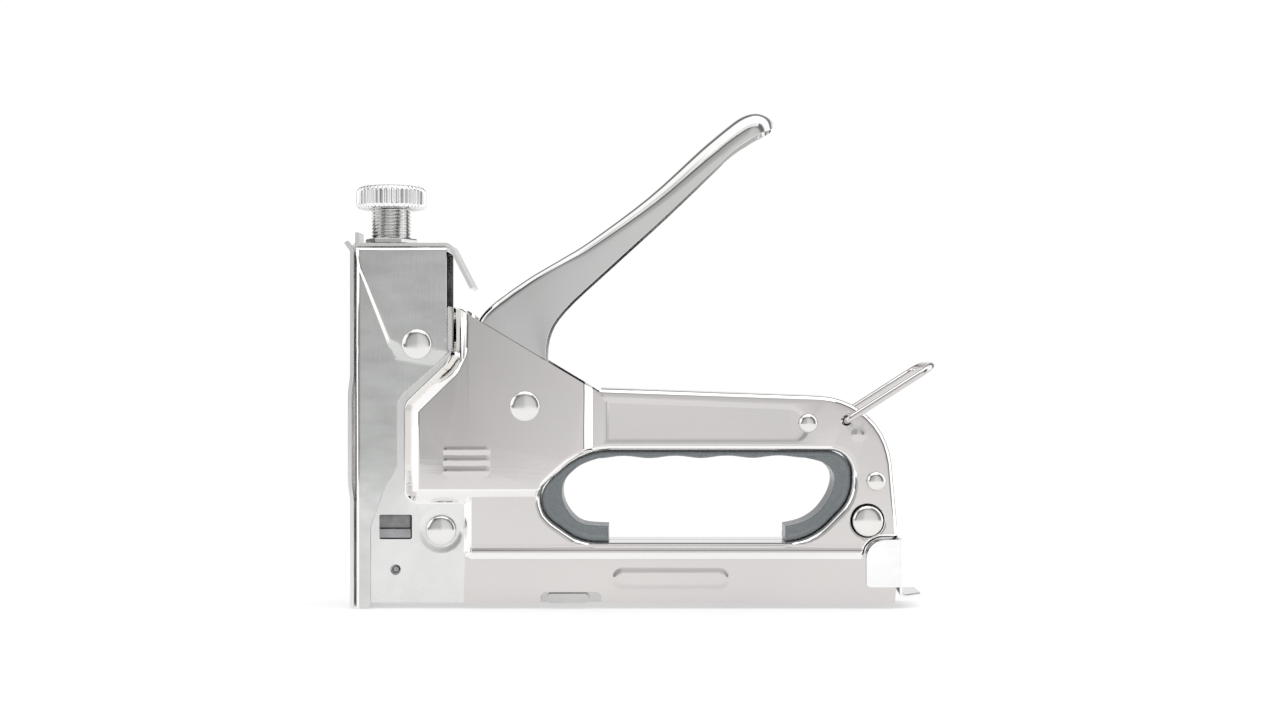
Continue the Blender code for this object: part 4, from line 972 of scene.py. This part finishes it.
def build_rivets():
    """Pins with a domed head on both sides."""
    for name, level in RIVETS.items():
        x, z, head = centre(name)
        seat = level + GAP
        dome = span(name)[1].y - seat
        profile = []
        for k in range(10):
            angle = math.radians(90 * k / 9)
            rise = seat + 0.25 + (dome - 0.25) * math.cos(angle)
            profile.append((max(head * math.sin(angle), 0.05), rise))
        profile += [(head, seat + 0.12), (head - 0.12, seat - 0.05), (1.4, seat - 0.1)]
        profile += [(radius, -rise) for radius, rise in reversed(profile)]
        rivet = revolve(name + "_skin", profile, x, z, 56, False)
        dress(settle(rivet, 50), "frame", "rivet_plate", RIVET, name)


def tube(name, points, radius, sides):
    """Round wire along 3-D points in millimetres."""
    bm = bmesh.new()
    spots = [Vector(p) for p in points]
    normal = (spots[1] - spots[0]).normalized().orthogonal().normalized()
    rings = []
    for i, spot in enumerate(spots):
        ahead = (spots[min(i + 1, len(spots) - 1)] - spots[max(i - 1, 0)]).normalized()
        normal = (normal - ahead * normal.dot(ahead)).normalized()
        side = ahead.cross(normal)
        rings.append([bm.verts.new((spot + (normal * math.cos(a) + side * math.sin(a)) * radius) * MM)
                      for a in (2 * math.pi * k / sides for k in range(sides))])
    bridge(bm, rings)
    bm.faces.new(rings[0])
    bm.faces.new(rings[-1])
    bmesh.ops.recalc_face_normals(bm, faces=bm.faces[:])
    return settle(mesh_piece(name, bm), 45)


def build_bail():
    """Wire loop whose two ends are turned into the shells."""
    high = span("lock_bail")[1]
    wire = 1.0
    half = high.y - wire
    inner = HANDLE_LEVEL - SHELL_WALL - 0.4
    slant = math.radians(32.6)
    reach = (high.x - BAIL_PIVOT[0] - wire) / math.cos(slant)
    flat = rounded([(0, -inner, 0), (0, -half, 1.8), (reach, -half, 4.5), (reach, half, 4.5),
                    (0, half, 1.8), (0, inner, 0)])
    points = [(BAIL_PIVOT[0] + a * math.cos(slant), y, BAIL_PIVOT[1] + a * math.sin(slant)) for a, y in flat]
    dress(tube("lock_bail_skin", points, wire, 18), "bail", "magazine_plate", NICKEL, "lock_bail")


def coil_points(start, length, radius, turns, upright, per_turn):
    """Helix that runs up from the start, or to the rear."""
    points = []
    count = int(turns * per_turn)
    for k in range(count + 1):
        angle = 2 * math.pi * k / per_turn
        a, b, rise = radius * math.cos(angle), radius * math.sin(angle), length * k / count
        shift = (a, b, rise) if upright else (rise, a, b)
        points.append(tuple(s + d for s, d in zip(start, shift)))
    return points


def build_power_spring():
    """Power spring in two pieces, the lower turns and the top two turns, both riding on the frame."""
    low, high = span("power_spring")
    wire, turns, upper_turns, per_turn = 1.1, 6.5, 2, 28
    middle_x = (low.x + high.x) / 2
    radius = (high.x - low.x) / 2 - wire
    length = high.z - low.z - 2 * wire
    points = coil_points((middle_x, 0, low.z + wire), length, radius, turns, True, per_turn)
    split = len(points) - 1 - upper_turns * per_turn
    for name, part, joint in (("power_spring_skin", points[:split + 1], "driver_slide"),
                              ("power_spring_top_skin", points[split:], "preload_slide")):
        spring = tube(name, part, wire, 10)
        dress(spring, "frame", "inner_steel", INNER, "power_spring")
        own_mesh(spring)


def build_pusher_spring():
    """Long thin spring round the guide rod."""
    low, high = span("pusher_spring")
    wire = 0.3
    radius = (high.y - low.y) / 2 - wire
    start = (low.x + wire, 0, (low.z + high.z) / 2)
    points = coil_points(start, high.x - low.x - 2 * wire, radius, 26, False, 16)
    spring = tube("pusher_spring_skin", points, wire, 6)
    dress(spring, "latch", "inner_steel", INNER, "pusher_spring")
    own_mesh(spring)


# ---------------- grip insert

LEFT_FINGER_ARC = [(15.3, 2.4), (10.4, 4.3), (6.6, 7.6), (5.2, 10.8), (5.5, 14.6), (7.7, 18.5),
                   (11.3, 21.0), (18.3, 21.6)]
RIGHT_FINGER_ARC = [(18.3, 21.6), (13.4, 20.4), (9.1, 17.7), (5.8, 13.3), (4.4, 8.9), (5.2, 5.7),
                    (8.0, 3.4), (12.9, 2.2)]
GRIP_ROUND = 0.9


def finger_line():
    """Inner line of the grip: both end arcs, and four shallow finger waves along the top."""
    left_arc = smooth_line([(HOLE_LEFT + x, HOLE_TOP - z) for x, z in LEFT_FINGER_ARC], 5)
    right_arc = smooth_line([(HOLE_RIGHT - x, HOLE_TOP - z) for x, z in RIGHT_FINGER_ARC], 5)
    waves = 4
    start, stop = left_arc[0], right_arc[-1]
    wavy = []
    for k in range(1, 64):
        share = k / 64
        dip = 0.35 * (math.cos(2 * math.pi * waves * share) - 1)
        wavy.append((stop[0] + (start[0] - stop[0]) * share, stop[1] + (start[1] - stop[1]) * share - dip))
    return left_arc + right_arc + wavy


def build_grip():
    """Plastic liner, open along the lower middle, with a bead against the shells."""
    outer, bead = inset(hole_corners(), GAP), inset(hole_corners(), GAP + 1.2)
    outer_loop, inner_loop = rounded(outer), finger_line()
    gap_left, gap_right = HOLE_LEFT + LEFT_FINGER_ARC[-1][0], HOLE_RIGHT - RIGHT_FINGER_ARC[0][0]
    below, above = HOLE_BOTTOM - 5, HOLE_TOP - LEFT_FINGER_ARC[-1][1] + 3
    mouth = [(gap_left, below), (gap_right, below), (gap_right, above), (gap_left, above)]
    half = GRIP_HIGH.y

    def height(points):
        rims = np.concatenate([segments(outer_loop), segments(inner_loop)])
        groove = 0.9 * step_up(depth(points, bead), 0.5)
        end = np.minimum(np.abs(points[:, 0] - gap_left), np.abs(points[:, 0] - gap_right))
        end = np.where(points[:, 1] < above, end, 9.0)
        return half - groove - rim_drop(np.minimum(distance(points, rims), end), GRIP_ROUND)

    offsets = (0.03, 0.15, 0.35, 0.6, GRIP_ROUND)
    lines = [rounded(inset(outer, d)) for d in offsets]
    lines += step_lines(bead, 0.5)
    lines += [widened(inner_loop, d) for d in offsets]
    for gap_x, sign in ((gap_left, -1), (gap_right, 1)):
        lines += [[(gap_x + sign * d, below), (gap_x + sign * d, above)] for d in (0.15, 0.5, GRIP_ROUND)]
    skirts = np.concatenate([segments(outer_loop), segments(inner_loop), segments(mouth)])
    bm = surface(outer_loop, [inner_loop, mouth], lines, height, skirts, 0)
    mirror_half(bm)
    bmesh.ops.recalc_face_normals(bm, faces=bm.faces[:])
    dress(settle(mesh_piece("grip_insert_skin", bm), 40), "frame", "grip_plastic", GRIP, "grip_insert")


# ---------------- magazine and its cap

def build_cap():
    """Sheet cap round the magazine's rear end."""
    def front(radius, degrees):
        angle = math.radians(degrees)
        return CAP_LOW.x + radius * (1 - math.sin(angle)), radius * (1 - math.cos(angle))

    fronts = [(x, CAP_FOOT + rise) for x, rise in [front(1.2, 15 * k) for k in range(7)]]
    fronts += [(x, CAP_HIGH.z - rise) for x, rise in [front(5.5, 90 - 10 * k) for k in range(10)]]
    stations = [((CAP_BACK, z), (x, z), CAP_HIGH.y, 1.35) for x, z in fronts]
    cap = channel("end_cap_skin", stations, CAP_WALL, 0.2)
    dress(cap, "latch", "magazine_plate", CAP, "end_cap")


def build_cap_lip():
    """Tapered lip that the cap is pulled by."""
    middle = CAP_BACK - CAP_WALL / 2
    path = bent([(middle, CAP_FOOT + 2.0, 0), (middle, BOTTOM + 1.6, 1.2),
                 (CAP_HIGH.x - 0.4, BOTTOM + 2.2, 0)])

    def half_at(x):
        return (CHANNEL_HIGH.y - 1.2) * (1 - 0.25 * max(0.0, (x - CAP_BACK) / (CAP_HIGH.x - CAP_BACK)))

    rows = [-1.0, -0.85, -0.5, 0.0, 0.5, 0.85, 1.0]
    lip = bent_sheet("end_cap_lip", path, rows, half_at, CAP_WALL * 0.98, 0, 0.2, lambda *_: False)
    dress(lip, "latch", "magazine_plate", CAP)


def softened(name, body, slot_name, material, width):
    """Copy of a CAD node with its edges broken."""
    bm = bmesh.new()
    bm.from_mesh(frame["nodes"][name].data)
    bmesh.ops.remove_doubles(bm, verts=bm.verts[:], dist=2e-6)
    bmesh.ops.dissolve_limit(bm, angle_limit=math.radians(1), verts=bm.verts[:], edges=bm.edges[:])
    piece = mesh_piece(name + "_skin", bm)
    break_edges(piece, width, 2, 35)
    dress(settle(piece, 35), body, slot_name, material, name)


def block(name, low, high, bevel):
    """Rectangular block between two corners in millimetres, with rounded edges."""
    bm = bmesh.new()
    bmesh.ops.create_cube(bm, size=1)
    size, middle = (high - low) * MM, (high + low) / 2 * MM
    for v in bm.verts:
        v.co = Vector((v.co.x * size.x, v.co.y * size.y, v.co.z * size.z)) + middle
    piece = mesh_piece(name, bm)
    break_edges(piece, bevel, 3)
    return settle(piece, 40)


def build_bumper():
    """Rubber stop on a folded steel strip, whose ends show in the windows of the shells."""
    low, high = span("bumper")
    strip_top = low.z + 0.42 * (high.z - low.z)
    rubber_low = Vector((low.x + 0.2, low.y + 0.45, strip_top))
    stop = block("bumper_rubber_skin", rubber_low, Vector((high.x - 0.2, high.y - 0.45, high.z)), 0.5)
    dress(stop, "frame", "bumper_rubber", RUBBER, "bumper")
    strip_piece = block("bumper_steel_strip", low, Vector((high.x, high.y, strip_top - 0.15)), 0.35)
    dress(strip_piece, "frame", "inner_steel", INNER)


def finish_inner_nodes():
    """Hidden pieces keep their CAD shape and take the oiled steel."""
    for name in ("driver_blade", "plunger_pin", "spring_top_cap", "arm_rivet", "lever_return_spring",
                 "front_lower_spacer", "rear_large_spacer", "rear_top_spacer", "rear_mid_spacer",
                 "guide_rod", "left_magazine_pin", "right_magazine_pin"):
        mesh = frame["nodes"][name].data
        mesh.materials.clear()
        mesh.materials.append(INNER)


# ---------------- stage, light and camera

def build_stage():
    """Pale disc that glows a little, so that it stays as light as the surround."""
    bm = bmesh.new()
    bmesh.ops.create_circle(bm, cap_ends=True, radius=0.6, segments=96)
    floor = mesh_piece("floor", bm)
    floor.location = (0.08, 0, -0.0002)
    material, tree, shader, coords = new_material("pale_floor")
    tone_between(tree, shader, noise(tree, coords, 3, 2), (0.54, 0.54, 0.54), (0.56, 0.56, 0.56))
    shader.inputs["Emission Color"].default_value = (1, 1, 1, 1)
    shader.inputs["Emission Strength"].default_value = 0.5
    shader.inputs["Roughness"].default_value = 0.9
    shader.inputs["Specular IOR Level"].default_value = 0.1
    floor.data.materials.append(material)


SURROUND = [(0.0, 1.25), (0.38, 1.25), (0.46, 0.40), (0.6, 0.16), (0.76, 0.22), (0.86, 0.62), (1.0, 0.70)]


def grey_ramp(tree, value, stops):
    """Grey level over a value, eased between (position, level) stops."""
    ramp = node(tree, "ShaderNodeValToRGB")
    ramp.color_ramp.interpolation = "EASE"
    elements = ramp.color_ramp.elements
    elements.remove(elements[-1])
    elements[0].position = stops[0][0]
    elements[0].color = (*[stops[0][1]] * 3, 1)
    for position, level in stops[1:]:
        elements.new(position).color = (level, level, level, 1)
    tree.links.new(value, ramp.inputs["Fac"])
    return ramp.outputs["Color"]


def fade_along(tree, value, *ranges):
    """Smooth change of a factor: from and to values of the input, then of the result."""
    made = node(tree, "ShaderNodeMapRange", interpolation_type="SMOOTHSTEP")
    for key, number in zip(("From Min", "From Max", "To Min", "To Max"), ranges):
        made.inputs[key].default_value = number
    tree.links.new(value, made.inputs["Value"])
    return made.outputs["Result"]


def build_surround():
    """World that is white beside the tool, grey in front of and behind it, and dark between the two.

    It is brighter low down and to the rear. The camera itself sees plain white.
    """
    world = bpy.data.worlds.new("studio")
    bpy.context.scene.world = world
    world.use_nodes = True
    tree = world.node_tree
    split = node(tree, "ShaderNodeSeparateXYZ")
    tree.links.new(node(tree, "ShaderNodeTexCoord").outputs["Generated"], split.inputs["Vector"])
    across = node(tree, "ShaderNodeMath", operation="ABSOLUTE")
    tree.links.new(split.outputs["Y"], across.inputs[0])
    both = node(tree, "ShaderNodeMath", operation="MULTIPLY")
    tree.links.new(fade_along(tree, split.outputs["Z"], -0.12, 0.07, 1.28, 1.0), both.inputs[0])
    tree.links.new(fade_along(tree, split.outputs["X"], -0.13, -0.01, 0.85, 1.2), both.inputs[1])
    lit = blend(tree, 1.0, grey_ramp(tree, across.outputs[0], SURROUND), both.outputs[0],
                blend_type="MULTIPLY")
    camera_ray = node(tree, "ShaderNodeLightPath").outputs["Is Camera Ray"]
    background = tree.nodes["Background"]
    tree.links.new(blend(tree, camera_ray, lit, (1.02, 1.02, 1.02, 1)), background.inputs["Color"])
    background.inputs["Strength"].default_value = 1.0
    bpy.context.scene.view_settings.view_transform = "Standard"


def build_softboxes():
    """Two soft area lights, one above and one in front of the nose."""
    target = Vector((0.07, 0, 0.06))
    for name, place, size, power in (("top_softbox", (0.05, -0.25, 0.75), 0.7, 1.6),
                                     ("front_softbox", (-0.7, -0.45, 0.35), 0.5, 0.8)):
        light = bpy.data.lights.new(name, "AREA")
        light.size = size
        light.energy = power
        lamp = bpy.data.objects.new(name, light)
        lamp.location = place
        lamp.rotation_euler = (Vector(place) - target).to_track_quat("Z", "Y").to_euler()
        bpy.context.scene.collection.objects.link(lamp)


def build_camera():
    """Camera square to the tool's left side, as in the photo."""
    data = bpy.data.cameras.new("camera")
    data.lens = 49.2
    data.sensor_width = 36
    data.clip_start = 0.01
    camera = bpy.data.objects.new("camera", data)
    middle = (cad_box[0] + cad_box[1]) / 2
    camera.location = (middle.x + 0.0002, -0.502, middle.z - 0.0001)
    camera.rotation_euler = (math.radians(90), 0, 0)
    bpy.context.scene.collection.objects.link(camera)
    bpy.context.scene.camera = camera


build_shells()
build_housing()
build_front_plate()
build_clip()
build_knob()
build_screw()
build_lever()
build_rivets()
build_bail()
build_power_spring()
build_pusher_spring()
build_grip()
build_cap()
build_cap_lip()
softened("magazine_channel", "frame", "magazine_plate", CHANNEL, 0.2)
softened("adjuster_nut", "frame", "adjuster_plate", ADJUSTER, 0.35)
build_bumper()
softened("pusher", "staple_pusher", "inner_steel", INNER, 0.2)
softened("plunger", "driver", "inner_steel", INNER, 0.3)
softened("lift_arm", "hand_lever", "inner_steel", INNER, 0.3)
finish_inner_nodes()
build_stage()
build_surround()
build_softboxes()
build_camera()
